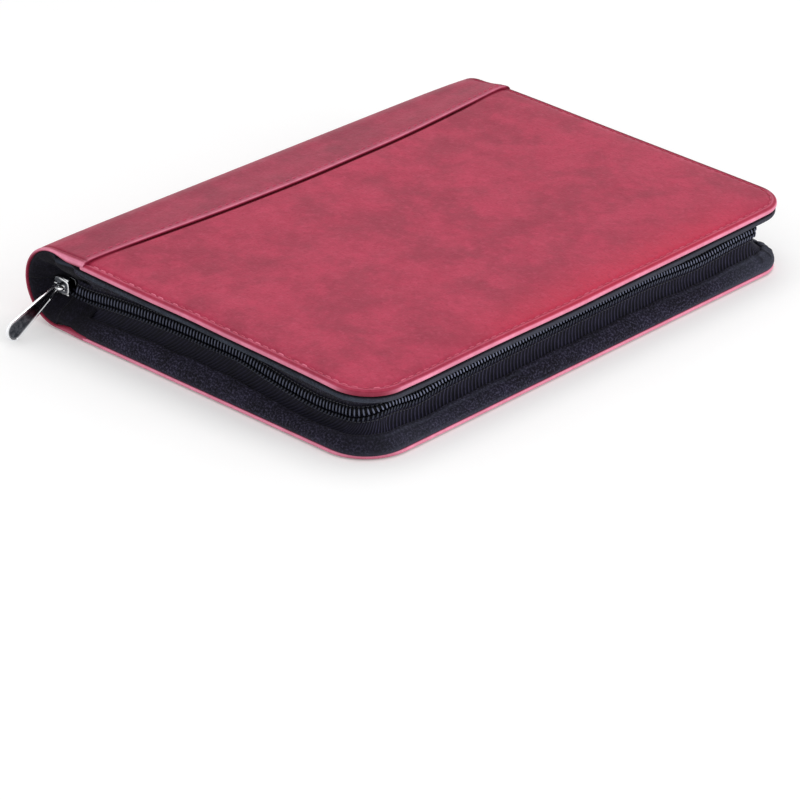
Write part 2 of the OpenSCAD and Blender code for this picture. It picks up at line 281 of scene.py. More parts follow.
def cornerTurns(radii, inset):
    # Corner radii of each inset outline: never smaller than the inset, and rounder towards the middle
    return (np.maximum(r, inset + 10 * (1 - inset / halfL)) for r in radii)


droopAt = {   # how far the soft front cover hangs below its plane along each side, place by place
    "edge": ([-120, -100, -88, -78, -60, -42, -25, -5, 15, 40, 60, 80, 100, 120],
             [0.7, 1.0, 1.15, 1.0, 0.85, 0.9, 1.1, 1.15, 0.8, 0.6, 0.5, 0.45, 0.45, 0.5]),
    "near": ([-80, -60, -40, -20, 0, 20, 40, 60, 92], [0.3, 0.6, 0.6, 0.45, 0.05, 0.15, 0.05, -0.05, 0]),
    "far": ([-80, -60, 0, 40, 92], [-0.3, -0.75, -0.75, -0.8, -1.0]),
    "reach": (24, 30, 30),
}


def droop(x, y):
    # Each side's hang dies away inwards with distance, e^(-distance / reach)
    reach = droopAt["reach"]
    hang = softLine(y, *droopAt["edge"]) * np.exp(-np.maximum(halfW - x, 0) / reach[0])
    hang = hang + softLine(np.clip(x, -80, halfW), *droopAt["near"]) * np.exp(-(halfL + y) / reach[1])
    hang = hang + softLine(np.clip(x, -80, halfW), *droopAt["far"]) * np.exp(-(halfL - y) / reach[2])
    return hang * smoothStep((x - spineX) / 16)


def onFront(points):
    # From the front cover's own flat frame to its tilted, slightly drooping place over the case:
    # a turn by the tilt about the open edge, and the droop taken off the height
    x, y, z = points[..., 0], points[..., 1], points[..., 2]
    c, s = math.cos(tilt), math.sin(tilt)
    return np.stack([halfW + (x - halfW) * c + z * s, y, edgeGapZ - (x - halfW) * s + z * c - droop(x, y)], -1)


def roofAt(x, y):
    # Height of the front cover's inner face: the tilted plane less the droop
    return edgeGapZ + (halfW - x) * math.tan(tilt) - droop(x, y)


cover = {
    "crown": 0.95,      # rise of the padded face over its sewn edge
    "reach": 7.0,       # distance over which it rises
    "groove": 2.6,      # the line of stitches, in from the edge
    "grooveDepth": 0.5,
    "bead": 1.2,        # radius of the rounded edge
    "beadSteps": 15,
    "edgeDrop": 0.45,   # how far the border slopes down from the stitches to the edge
    "waves": 0.14,      # unevenness of the padding
    "waveSize": 95,     # and the size of its swells
    "seed": 5,
}


def crownAt(inset):
    # Padding over the sewn edge: a rise that slows down, 1 - e^(-distance / reach)
    return cover["crown"] * (1 - np.exp(-np.maximum(inset - cover["groove"], 0) / cover["reach"]))


def grooveAt(inset):
    # The stitched groove: a bell that is wider on its inner side
    away = inset - cover["groove"]
    return -cover["grooveDepth"] * np.exp(-(away / np.where(away > 0, 0.85, 0.6)) ** 2)


def borderAt(inset):
    # The border's slope down to the edge
    return -cover["edgeDrop"] * (1 - smoothStep(inset / 2.5))


def edgeProfile(thick):
    # Cover's section from its inner face round the rolled edge and over the face, as inset and height
    bead = cover["bead"]
    a = np.linspace(-90, 90, cover["beadSteps"]) * math.pi / 180
    low = np.stack([[9.0, 5.0, 2.6], [0.25, 0.12, 0.0]])
    edge = thick - cover["edgeDrop"]
    roll = np.stack([bead - bead * np.cos(a) ** 0.85, edge / 2 + edge / 2 * np.sin(a)])
    top = np.array([1.45, 1.8, 2.1, 2.35, 2.5, 2.65, 2.85, 3.1, 3.5, 4.1, 5.0, 6.2, 7.8, 10.2, 13, 16, 20, 25,
                    31, 38, 46, 55, 65, 75, 85, 95, 105, 113, 118, halfL])
    return np.concatenate([low, roll, np.stack([top, np.full(len(top), thick)])], 1)


lip = {   # the edge of the spine strip that lies on the cover
    "x": -52.4, "bow": 5.9, "bowReach": 110, "slant": 0.007,    # its line in plan
    "kick": (1.6, 2.4), "kickReach": (6, 3.5),                  # and how far its near and far ends turn out
    "dip": 1.05, "width": 1.15,                                 # the hollow that it presses into the cover
    "rise": 0.55, "endRise": 0.12, "thick": 1.3, "stitchIn": 2.5,
}


def lipX(y):
    # The spine strip's lip in plan: an even bow towards the open edge, turned out at its ends
    kick = lip["kick"][0] * np.exp(-(halfL + y) / lip["kickReach"][0]) \
        + lip["kick"][1] * np.exp(-(halfL - y) / lip["kickReach"][1])
    return lip["x"] - lip["bow"] * (y / lip["bowReach"]) ** 2 - lip["slant"] * y + kick


def lipFade(y):
    # The lip lies lower towards the two ends
    return 1 - 0.6 * smoothStep((np.abs(y) - 84) / 34)


def lipRise(y):
    # How far the strip's face stands over the cover at the lip
    return lip["endRise"] + (lip["rise"] - lip["endRise"]) * lipFade(y)


def spineTaper(y):
    # The roll is slacker towards its two ends, and more so at the far one
    near, far = (slack * np.exp(-(halfL + way * y) / case["slackReach"]) for slack, way in zip(case["slack"], (1, -1)))
    return near + far


def coverTop(x, y, inset, thick):
    # Height of a cover's padded face in its own frame: edge thickness, groove, crown and soft waves.
    # The crown dies out towards the spine, where the cover lies flat under the strip.
    full = smoothStep((inset - 4) / 14)
    flat = smoothStep((x - spineX + 2) / 24)
    waves = cover["waves"] * ripple(x, y, cover["waveSize"], cover["seed"], 2) * full
    return thick + borderAt(inset) + grooveAt(inset) + (crownAt(inset) + waves) * flat


# Materials

def linear(r, g, b):
    # A colour given as screen values 0 to 255, as light: ((c + 0.055) / 1.055)^2.4 above the darkest
    c = np.array([r, g, b]) / 255
    return (*np.where(c <= 0.04045, c / 12.92, ((c + 0.055) / 1.055) ** 2.4).tolist(), 1.0)


principledSockets = ("Base Color", "Metallic", "Roughness", "Normal", "Specular IOR Level", "Sheen Weight",
                     "Sheen Roughness", "Emission Color", "Emission Strength")


class Value:
    # A node's socket that takes arithmetic: each operator, also the reflected one, adds one Math node
    def __init__(self, finish, socket):
        self.finish, self.socket = finish, socket

    def math(self, operation, first, *rest):
        return self.finish.node("ShaderNodeMath", {"operation": operation}, {0: first, **dict(enumerate(rest, 1))})

    def __add__(self, other):
        return self.math("ADD", self, other)

    def __sub__(self, other):
        return self.math("SUBTRACT", self, other)

    def __rsub__(self, other):
        return self.math("SUBTRACT", other, self)

    def __mul__(self, other):
        return self.math("MULTIPLY", self, other)

    def __pow__(self, other):
        return self.math("POWER", self, other)

    def wave(self, length):
        # A sine of the given wavelength between 0 and 1
        return (self * (2 * math.pi / length)).sine() * 0.5 + 0.5

    def sine(self):
        return self.math("SINE", self)

    def clamp(self):
        # Held between 0 and 1
        return self.math("MINIMUM", self.math("MAXIMUM", self, 0.0), 1.0)

    __radd__, __rmul__ = __add__, __mul__


class Finish:
    # A material or world: node() adds any node, and the shorter methods are the ones used most
    def __init__(self, name, kind="materials"):
        self.owner = getattr(bpy.data, kind).new(name)
        self.owner.use_nodes = True
        self.tree = self.owner.node_tree
        self.tree.nodes.clear()

    def node(self, kind, settings=None, sockets=None, output=0):
        # Settings are set first; a socket takes a number, a colour or another node's value
        made = self.tree.nodes.new(kind)
        for key, value in (settings or {}).items():
            setattr(made, key, value)
        for key, value in (sockets or {}).items():
            if isinstance(value, Value):
                self.tree.links.new(value.socket, made.inputs[key])
            else:
                made.inputs[key].default_value = value
        return Value(self, made.outputs[output]) if made.outputs else made

    def place(self, flat=False):
        # Where a pattern lies, in millimetres: the object's own coordinates or its flat map
        source = self.node("ShaderNodeTexCoord", output="UV" if flat else "Object")
        return self.node("ShaderNodeMapping", {}, {"Vector": source, "Scale": (1 / mm,) * 3})

    def parts(self, place):
        # The first two numbers of a place
        return (self.node("ShaderNodeSeparateXYZ", {}, {0: place}, output=k) for k in (0, 1))

    def noise(self, place, size, detail=2.0, rough=0.5, distortion=0.0):
        # Soft noise whose patches are about size millimetres across
        return self.node("ShaderNodeTexNoise", {}, {"Vector": place, "Scale": 1 / size, "Detail": detail,
                                                    "Roughness": rough, "Distortion": distortion})

    def mark(self, name):
        # A number that the piece's mesh carries at each point
        return self.node("ShaderNodeAttribute", {"attribute_name": name}, output="Fac")

    def band(self, value, low, high):
        # 0 below low, 1 above high, smooth between
        return self.node("ShaderNodeMapRange", {"interpolation_type": "SMOOTHSTEP"},
                         {"Value": value, "From Min": low, "From Max": high})

    def mix(self, share, a, b):
        # From colour a to colour b as share goes from 0 to 1
        return self.node("ShaderNodeMix", {"data_type": "RGBA"}, {0: share, 6: a, 7: b}, output=2)

    def bump(self, height, distance, strength=1.0):
        # Small relief, distance millimetres deep
        return self.node("ShaderNodeBump", {}, {"Height": height, "Distance": distance * mm, "Strength": strength})

    def watched(self):
        # 1 for what the camera, mirrors and glass see, and 0 for the light that falls on things
        rays = [self.node("ShaderNodeLightPath", output=f"Is {kind} Ray")
                for kind in ("Camera", "Glossy", "Transmission")]
        return (rays[0] + rays[1] + rays[2]).clamp()

    def surface(self, **sockets):
        # The shader itself; its sockets are named with spaces left out
        named = {"".join(socket.split()): socket for socket in principledSockets}
        shader = self.node("ShaderNodeBsdfPrincipled", {}, {named[key]: value for key, value in sockets.items()})
        self.node("ShaderNodeOutputMaterial", {}, {"Surface": shader})
        return self.owner


leatherLook = {
    "deep": linear(146, 21, 56),     # darker clouds
    "main": linear(169, 33, 68),
    "bright": linear(189, 47, 82),   # smaller bright ones
    "pale": linear(190, 64, 95),     # faint bloom
    "warm": linear(190, 30, 64),     # painted light: the leather beside the open edge made brighter and redder
    "edge": linear(255, 158, 188),   # painted highlight on the rolled edges and the lip
    "seam": linear(96, 6, 26),       # painted shade in the stitched groove, the creases and beside the lip
    "cloud": 26, "fine": 9, "bloom": 2.2, "pore": 1.3, "crease": 2.6, "grain": 0.75,   # sizes in millimetres
}
rolledLook = {   # the spine strip's leather is a little darker
    **leatherLook, "deep": linear(134, 20, 54), "main": linear(154, 31, 64), "bright": linear(174, 44, 78),
    "pale": linear(174, 60, 92),
}


def leatherFinish(name, flat, look=leatherLook):
    # Oiled leather: two sizes of cloud, fine dark pores and a pebbled grain, with painted light, highlights and shade
    f = Finish(name)
    at = f.place(flat)
    clouds = f.band(f.noise(at, look["cloud"], 6, 0.66, 0.2), 0.36, 0.62)
    fine = f.band(f.noise(at, look["fine"], 6, 0.72), 0.38, 0.66)
    bloom, pores = (f.band(f.noise(at, look[size], 3, 0.65), 0.5, 0.7) for size in ("bloom", "pore"))
    colour = f.mix(clouds, look["deep"], look["main"])
    colour = f.mix(fine * (0.2 + clouds * 0.45), colour, look["bright"])
    # painted light beside the open edge
    colour = f.mix(f.mark("warm") * 0.7, colour, look["warm"])
    colour = f.mix(bloom * 0.3, colour, look["pale"])
    colour = f.mix(pores * 0.4, colour, look["deep"])
    # painted highlight on the rolled edges and the lip
    colour = f.mix((f.mark("worn") * (0.75 + fine * 0.25)).clamp(), colour, look["edge"])
    # painted shade in the groove, the creases and beside the lip
    colour = f.mix(f.mark("seam"), colour, look["seam"])
    cells = f.node("ShaderNodeTexVoronoi", {"feature": "SMOOTH_F1"},
                   {"Vector": at, "Scale": 1 / look["grain"], "Smoothness": 0.4})
    creases = f.noise(at, look["crease"], 4, 0.6)
    bump = f.bump(cells * -0.6 + creases * 0.8, 0.1)
    rough = 0.45 + f.noise(at, 12, 3, 0.6) * 0.12 + pores * 0.06 + f.mark("seam") * 0.5
    return f.surface(BaseColor=colour, Roughness=rough, Normal=bump, SpecularIORLevel=0.34)


threadLook = {"cover": linear(168, 44, 72), "strip": linear(176, 58, 88), "cloth": linear(38, 38, 48),
              "pale": linear(240, 130, 158)}


def threadFinish(name, colour):
    # Twisted thread: light and dark turns across the strand, and some stitches paler than others
    f = Finish(name)
    twist = f.noise(f.place(), 0.35, 2, 0.5)
    shade = f.mix(twist, colour, tuple(min(1.0, k * 1.4) for k in colour[:3]) + (1.0,))
    shade = f.mix(f.mark("pale"), shade, threadLook["pale"])
    return f.surface(BaseColor=shade, Roughness=0.6, Normal=f.bump(twist, 0.08), SheenWeight=0.15)


clothLooks = {   # "flecked" says how far the pale flecks show, and "band" is the colour of painted light
    "gusset": {"dark": linear(8, 6, 14), "main": linear(27, 24, 39), "fleck": linear(92, 89, 114),
               "band": linear(92, 96, 112), "flecked": 1.0},
    # the same cloth, darker and less flecked, as painted shade inside the roll's ends
    "end": {"dark": linear(7, 6, 12), "main": linear(17, 15, 25), "fleck": linear(50, 48, 64),
            "band": linear(53, 59, 71), "flecked": 0.6},
    "top": {"dark": linear(34, 38, 48), "main": linear(53, 59, 71), "fleck": linear(84, 90, 104),
            "band": linear(86, 84, 96), "flecked": 1.0},
}
clothShade = linear(18, 6, 13)


def clothFinish(name, look):
    # Coarse matte cloth: crossed threads under scattered paler flecks; marks add painted light along folds
    # and lit sides ("band"), painted shade where it is drawn in and in corners, and painted black shade in a gap
    # ("shade")
    f = Finish(name)
    at = f.place(True)
    x, y = ((along * (2 * math.pi / 0.8)).sine() for along in f.parts(at))
    weave = x * y * 0.5 + 0.5
    blotch = f.noise(at, 9, 4, 0.6)
    speck = f.band(f.noise(at, 0.9, 4, 0.75), 0.47, 0.62)
    colour = f.mix(f.band(blotch, 0.3, 0.7), look["dark"], look["main"])
    colour = f.mix((speck * look["flecked"] * (0.1 + blotch * 0.7)).clamp(), colour, look["fleck"])
    # painted light along folds and lit sides
    colour = f.mix(f.mark("band"), colour, look["band"])
    # painted shade where the cloth is drawn in and in corners
    colour = f.mix(f.mark("dull"), colour, look["dark"])
    # painted black shade in a gap
    colour = f.mix(f.mark("shade"), colour, clothShade)
    bump = f.bump(weave * 0.4 + f.noise(at, 1.3, 4, 0.65), 0.22, 0.9)
    return f.surface(BaseColor=colour, Roughness=0.8 + blotch * 0.12, Normal=bump, SpecularIORLevel=0.14,
                     SheenWeight=0.04, SheenRoughness=0.4)


tapeLook = {"dark": linear(8, 7, 16), "main": linear(17, 15, 30), "rib": linear(70, 68, 94), "pitch": 1.9,
            "slant": 0.78}


def tapeFinish(name, look=tapeLook):
    # Zip tape: slanted ribs along the flat map, over dull near-black cloth
    f = Finish(name)
    at = f.place(True)
    u, v = f.parts(at)
    ribs = (u - v * look["slant"]).wave(look["pitch"])
    wear = f.noise(at, 5, 3, 0.6)
    colour = f.mix(f.band(wear, 0.25, 0.75), look["dark"], look["main"])
    colour = f.mix((ribs ** 6 * (0.3 + wear) * f.mark("ribs")).clamp(), colour, look["rib"])
    return f.surface(BaseColor=colour, Roughness=0.66, Normal=f.bump(ribs, 0.16), SpecularIORLevel=0.15)


# the last colour is a painted highlight for the turns
coilLook = {"dark": linear(2, 2, 6), "main": linear(6, 6, 16), "paintedGlint": linear(158, 164, 192)}


def coilFinish(name, look=coilLook):
    # Moulded nylon: near black and faintly scuffed, with a painted highlight on each turn's outer face
    f = Finish(name)
    scuff = f.noise(f.place(), 1.6, 4, 0.6)
    colour = f.mix(f.band(scuff, 0.4, 0.75), look["dark"], look["main"])
    colour = f.mix((f.mark("paintedGlint") * (0.55 + scuff * 0.7)).clamp(), colour, look["paintedGlint"])
    return f.surface(BaseColor=colour, Roughness=0.36 + scuff * 0.2, Normal=f.bump(scuff, 0.03), SpecularIORLevel=0.1)


liningLook = {"dark": linear(30, 31, 38), "main": linear(47, 49, 58), "twill": linear(72, 75, 86), "pitch": 0.7}


def liningFinish(name, flat=False, look=liningLook):
    # Close twill lining with a faint diagonal
    f = Finish(name)
    at = f.place(flat)
    x, y = f.parts(at)
    twill = (x + y).wave(look["pitch"])
    wear = f.noise(at, 22, 4, 0.55)
    colour = f.mix(f.band(wear, 0.25, 0.75), look["dark"], look["main"])
    colour = f.mix(twill * 0.3, colour, look["twill"])
    return f.surface(BaseColor=colour, Roughness=0.66 + wear * 0.14, Normal=f.bump(twill, 0.05), SheenWeight=0.1)


# the bright "rim" colour is polished metal and also a painted highlight along the edges
metalLook = {"dark": linear(52, 54, 60), "main": linear(96, 98, 104), "rim": linear(244, 245, 247)}


def metalFinish(name, look=metalLook):
    # Black nickel faces with bright polished rims, partly a painted highlight, and faint rubbing marks
    f = Finish(name)
    rub = f.noise(f.place(), 1.4, 5, 0.65)
    face = f.mix(f.band(rub, 0.35, 0.7), look["dark"], look["main"])
    colour = f.mix(f.mark("rim"), face, look["rim"])
    return f.surface(BaseColor=colour, Metallic=1.0, Roughness=0.12 + rub * 0.14, Normal=f.bump(rub, 0.012))


paddingLook = {"foam": (linear(60, 60, 62), linear(92, 92, 96)),
               "board": (linear(120, 112, 100), linear(158, 150, 138))}


def paddingFinish(name, dark, pale):
    # Pressed board or foam that is seen only where a part is taken off
    f = Finish(name)
    fibre = f.noise(f.place(), 1.8, 5, 0.7)
    return f.surface(BaseColor=f.mix(fibre, dark, pale), Roughness=0.9, Normal=f.bump(fibre, 0.1))


def dress(obj, material, slot=None):
    # Gives a piece its material; its slot is not used
    obj.data.materials.clear()
    obj.data.materials.append(material)
    return obj


leather = leatherFinish("coverLeather", False)
rolledLeather = leatherFinish("rolledLeather", True, rolledLook)
coverThread = threadFinish("coverThread", threadLook["cover"])
stripThread = threadFinish("stripThread", threadLook["strip"])
clothThread = threadFinish("clothThread", threadLook["cloth"])
gussetCloth = clothFinish("gussetCloth", clothLooks["gusset"])
endCloth = clothFinish("endCloth", clothLooks["end"])
bandCloth = clothFinish("bandCloth", clothLooks["top"])
zipTape = tapeFinish("zipTape")
zipNylon = coilFinish("zipNylon")
twillLining = liningFinish("twillLining")
rolledLining = liningFinish("rolledLining", True)
brightMetal = metalFinish("brightMetal")
foamFinish = paddingFinish("foamPadding", *paddingLook["foam"])
greyBoard = paddingFinish("greyBoard", *paddingLook["board"])
print("finishes are mixed")


# The covers

paintedEdgeHighlight = {   # how strong the painted highlight on the rolled edge is: along the near side, round the near corner, and beyond it
    "front": (0.76, 0.08, 1.0),
    "back": (0.95, 0.6, 1.1),
}
paintedCoverLight = {   # the covers' painted light and shade, from 0 to 1, with distances in millimetres
    "cornerSize": 12,                          # the near corner, where the edge gets less painted highlight and some painted shade
    "farLess": 0.8,                            # how much less painted highlight the edge gets on the far side
    "bevel": (0.2, 2.0, 0.7),                  # painted highlight in a line on the border: how bright, how far in, how wide
    "farFace": (0.12, 3, 6),                   # painted sheen near the far side, the same three
    "groove": (0.25, 0.42),                    # painted shade in the groove: how dark, and how wide
    "underRoll": 0.85, "overRoll": 0.25,       # painted shade in the creases under and over the roll, how dark
    "farCrease": (0.9, 1.4, 0.75),             # painted shade along the far crease: how dark, how far in, how wide
    # painted shade on the near corner's edge, how dark
    "cornerDark": 0.5,
    "warmWidth": 15,                           # painted light: the brighter, redder band beside the open edge, how wide
}


def coverMarks(x, y, inset, turned, isTop, nearR, rub, seam):
    # Painted light and shade on the leather: painted highlight on the rolled edge where it faces out,
    # painted shade in the groove and two creases beside the roll, deep on the far side; painted light by the open edge
    far = smoothStep((y - halfL + 6) / 4) * smoothStep((halfW - 9 - x) / 6)
    bend = nearR * (1 - math.sqrt(0.5))
    corner = np.exp(-(np.hypot(x - halfW + bend, y + halfL - bend) / paintedCoverLight["cornerSize"]) ** 4)
    nearSide, nearCorner, beyond = rub
    level = beyond + (nearSide - beyond) * smoothStep((halfW - 10 - x) / 12) * (y < 0)
    level = (level + (nearCorner - level) * corner) * (1 - paintedCoverLight["farLess"] * far)
    # the roll runs from -90 degrees at the cover's underside to 90 at its face
    onRoll = smoothStep((turned + 62) / 26) * (1 - smoothStep((turned - 22) / 38))
    (bevel, bevelIn, bevelWide), (farPale, farIn, farWide) = paintedCoverLight["bevel"], paintedCoverLight["farFace"]
    # painted highlight on the roll, in a line along the border and as sheen near the far side
    worn = onRoll * level + (bevel * hump(inset - bevelIn, bevelWide) * (1 - far)
                             + farPale * far * hump(inset - farIn, farWide)) * isTop
    (groove, grooveWide), (crease, creaseIn, creaseWide) = paintedCoverLight["groove"], paintedCoverLight["farCrease"]
    # painted shade in the groove, the creases beside the roll, the far crease and at the near corner
    dark = hump(inset - cover["groove"], grooveWide) * isTop * (groove - groove * far) \
        + paintedCoverLight["underRoll"] * smoothStep((-turned - 46) / 22) \
        + hump(turned - 84, 19) * paintedCoverLight["overRoll"] \
        + crease * far * hump(inset - creaseIn, creaseWide) \
        + paintedCoverLight["cornerDark"] * corner * max(0, 1 - nearCorner) * (np.abs(turned) < 60)
    # painted shadow beside the strip's lip
    dark = np.maximum(np.minimum(dark, 1), seam(x, y) * isTop)
    # painted light beside the open edge
    warm = hump(halfW - x, paintedCoverLight["warmWidth"]) * smoothStep((y + 80) / 60) * smoothStep((halfL - y) / 60)
    return {"worn": worn, "seam": dark, "warm": warm}


def coverPiece(name, thick, cornerR, place, top, rub, body, node):
    # A padded cover: its section carried round the three open sides, each inset a smaller
    # outline with rounder corners, until the face closes on its middle line
    inset, height = edgeProfile(thick)
    under = np.array([halfL, 90, 60, 35, 18])
    inset, height = np.concatenate([under, inset]), np.concatenate([np.full(len(under), 0.55), height])
    height[len(under):len(under) + 2] = [0.5, 0.3]
    starts = (lipX(y) - 1.8 for y in (inset - halfL, halfL - inset))
    plan = openSides(inset, *cornerTurns(cornerR, inset), *starts)
    x, y = plan[..., 0], plan[..., 1]
    first, steps = len(under) + 3, cover["beadSteps"]
    isTop = np.arange(len(inset)) >= first + steps
    z = np.where(isTop, top(x, y, inset[None]), height[None])
    turned = np.full(len(inset), 180.0)
    turned[first:first + steps] = np.linspace(-90, 90, steps)
    # painted highlight, painted shade and painted light on the leather
    marks = coverMarks(x, y, inset, turned, isTop, cornerR[0], rub, lipShadow)
    obj = gridPiece(name, place(np.stack([x, y, z], -1)), marks=marks, fill=True, angle=50)
    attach(dress(obj, leather, "leather"), body)
    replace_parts(obj, node)


def frontTop(x, y, inset):
    # Front cover's face, with a hollow just outside the strip's lip
    hollow = lip["dip"] * lipFade(y) * hump(np.maximum(x - lipX(y) - 0.35, 0), lip["width"])
    return coverTop(x, y, inset, case["frontT"]) - hollow * smoothStep((inset - 0.6) / 2.5)


def lipShadow(x, y):
    # Painted shadow beside the lip: a bell from half a millimetre outside it
    return lipFade(y) * hump(np.maximum(x - lipX(y) - 0.5, 0), 0.75)


def onBack(points):
    # The back cover is built face up like the front one, then laid face down on the ground
    return np.stack([points[..., 0], points[..., 1], case["backT"] - points[..., 2]], -1)


def backTop(x, y, inset):
    # The back cover rests on its face, so its padding lies flat and only its border stands off the ground
    border = 0.3 * np.exp(-np.maximum(inset - cover["groove"], 0) / 4.0)
    hollow = 0.35 * hump(x - lipX(y), 0.9) * smoothStep((inset - 0.6) / 2.5)
    return case["backT"] - border + borderAt(inset) + 0.6 * grooveAt(inset) - hollow


layers = {   # under the front cover's leather: height range, material, and how each layer is cut
    "lining": {"low": 0.0, "high": 0.4, "finish": twillLining, "edge": 1.6, "start": 0.0, "fold": 1.4},
    "board": {"low": 0.4, "high": 1.2, "finish": greyBoard, "edge": 2.6, "start": 2.5, "fold": 0.0},
    "foam": {"low": 1.2, "high": 1.9, "finish": foamFinish, "edge": 2.6, "start": 2.5, "fold": 0.0},
}


def layerPiece(kind):
    # A flat layer inside the front cover: it follows the cover's hang and thins out under the roll,
    # where it starts a little in or is folded up over the layers above it
    layer = layers[kind]
    inset = np.array([halfL, 80, 50, 30, 18, 10, 6, layer["edge"]])
    z = np.repeat([layer["low"], layer["high"]], len(inset))
    inset = np.concatenate([inset, inset[::-1]])
    start = spineX + layer["start"]
    plan = openSides(inset, *cornerTurns(case["frontCorner"], inset), start, start)
    x, y = plan[..., 0], plan[..., 1]
    z = z + layer["fold"] * (z > layer["low"]) * (1 - smoothStep((x - spineX) / 3))
    z = z * (1 - (spineTaper(y) + 0.6) / 2.8 * (1 - smoothStep((x - spineX) / 24)))
    obj = gridPiece("front" + kind.capitalize(), onFront(np.stack([x, y, z], -1)), fill=True, angle=30)
    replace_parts(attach(dress(obj, layer["finish"], kind), "front_half"), "front_" + kind)


seams = {   # stitches: from one to the next, and a stitch's half length, height, dip and radius
    "cover": {"pitch": 3.95, "stitch": (1.5, 0.12, 0.5, 0.3)},
    "lip": {"pitch": 3.6, "stitch": (1.3, 0.06, 0.3, 0.17)},
    "zip": {"pitch": 1.65, "stitch": (0.7, 0.1, 0.22, 0.18, 5, 5, 6)},   # and with fewer faces
}


def borderStitches(name, cornerR, place, top, body):
    # Saddle stitches in a cover's groove: bars that dip into dark needle holes, all round the open sides
    start = lipX(halfL) + 1.5
    line = openSides([cover["groove"]], *cornerR, start, start)[:, 0]
    z = top(line[:, 0], line[:, 1], cover["groove"])
    path, above = (place(np.stack([line[:, 0], line[:, 1], z + rise], -1)) for rise in (0.1, 1.1))
    spots = alongPath(path, above - path, seams["cover"]["pitch"], start=lead[-1] / 2)
    bar = stitchBar(*seams["cover"]["stitch"])
    # paler along the near side, plain along the far one, and uneven everywhere
    y = spots[:, 0, 1]
    pale = np.random.default_rng(len(name)).uniform(0, 1, len(spots)) ** 1.5
    pale = pale * (0.25 + 0.5 * smoothStep((30 - halfL - y) / 20)) * smoothStep((halfL - 6 - y) / 8)
    marks = {"pale": np.repeat(pale, len(bar[0]))}
    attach(dress(manyPieces(name, bar, spots, marks=marks), coverThread, "leather"), body)


for kind in layers:
    layerPiece(kind)
coverHalves = (("front", onFront, frontTop), ("back", onBack, backTop))
for half, place, top in coverHalves:
    coverPiece(half + "Cover", case[half + "T"], case[half + "Corner"], place, top, paintedEdgeHighlight[half], half + "_half",
               half + "_leather")
for half, place, top in coverHalves:
    borderStitches(half + "Stitches", case[half + "Corner"], place, top, half + "_half")
print("covers are padded and stitched")


# The strip of leather that wraps the spine

strip = {
    "thick": 0.8,
    "rim": 1.2,         # its thickness at the rolled ends
    "flatRim": 2.5,     # and where these lie on a cover
    "over": -0.4,       # how far it stands over the roll's radius
    "groove": 2.6,      # line pressed in near each end
    "grooveDepth": 0.3,
    "end": 119.3,       # where the rolled end begins, along the spine
    "rimFrom": 115,     # where it starts to thicken towards that end
    "rimOver": 2.5,     # and over what length
}


def bendOver(obj, upper):
    # Bakes a piece's placement into its mesh, the same for the upper and the lower half
    if upper:
        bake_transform(obj)
    else:
        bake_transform(obj)


flatRows = 15                                            # rows of its mesh from the roll to the lip
lipTurn = np.radians([15, 32, 50, 66, 80, 90])           # and round the lip, by its turn
lipHighlight = [0.08, 0.26, 0.42, 0.55, 0.5, 0.2, 0.0, 0.0]   # how strong the painted highlight on the last rows is
across = np.array([107, 110.5, 113.2, 115, 116.1, 116.7, 117.1, 117.4, 117.7, 118.1, 118.5, 118.9, strip["end"]])
across = np.concatenate([-across[::-1], np.linspace(-102, 102, 52), across])


def towardsRim(y):
    # 0 over most of the strip's width and 1 at its thicker, rolled ends
    return smoothStep((np.abs(y) - strip["rimFrom"]) / strip["rimOver"])


def stripLoop():
    # The strip's section across its width: outer face, rolled end, inner face, rolled end,
    # as distance along the spine and depth below the outer face
    turnA = np.linspace(0, math.pi, 7)[1:-1]
    half, ends = strip["rim"] / 2, strip["end"]
    deep = strip["thick"] + (strip["rim"] - strip["thick"]) * towardsRim(across)
    endY, endN = ends + half * np.sin(turnA), half - half * np.cos(turnA)
    y = np.concatenate([across, endY, across[::-1], -endY[::-1]])
    n = np.concatenate([0 * across, endN, deep[::-1], endN[::-1]])
    isOuter = np.concatenate([np.ones(len(across)), np.zeros(len(y) - len(across))])
    return y[None], n[None], isOuter[None]


def stripMarks(y, n, isOuter, sunk, angle, upper):
    # The strip gets painted highlight on the rim of its ends and along its lip, and painted shade in
    # its groove, under the rolled ends and beside the far one
    arcRows = len(angle)
    coverRows = flatRows + len(lipTurn)
    onLip = np.concatenate([np.zeros(arcRows + coverRows - len(lipHighlight)), lipHighlight])[:, None]
    onArc = smoothStep((150 - np.degrees(angle[:, 0])) / 45) if upper else np.zeros(arcRows)
    shoulder = np.concatenate([onArc, np.ones(coverRows)])[:, None]
    rim = hump(n - 0.35, 0.5) * smoothStep((np.abs(y) - 118.6) / 0.7)
    farEnd = (y > 0) * shoulder if upper else 0 * shoulder
    # painted highlight on the rims and along the lip
    worn = np.maximum(rim * (0.12 + 0.88 * shoulder * (1.0 if upper else 0.25)) * (1 - 0.85 * farEnd),
                      onLip * (0.5 + 0.5 * lipFade(y)) * isOuter)
    # painted shade under the rolled ends, in the groove and beside the far end
    under = 0.5 * smoothStep((n - 0.75) / 0.35) * (np.abs(y) > 119) * (isOuter < 1)
    dark = np.maximum(0.5 * sunk * (1 - farEnd), under) + 0.8 * farEnd * hump(np.abs(y) - 118.9, 0.7)
    return {"worn": worn, "seam": np.minimum(dark, 1)}


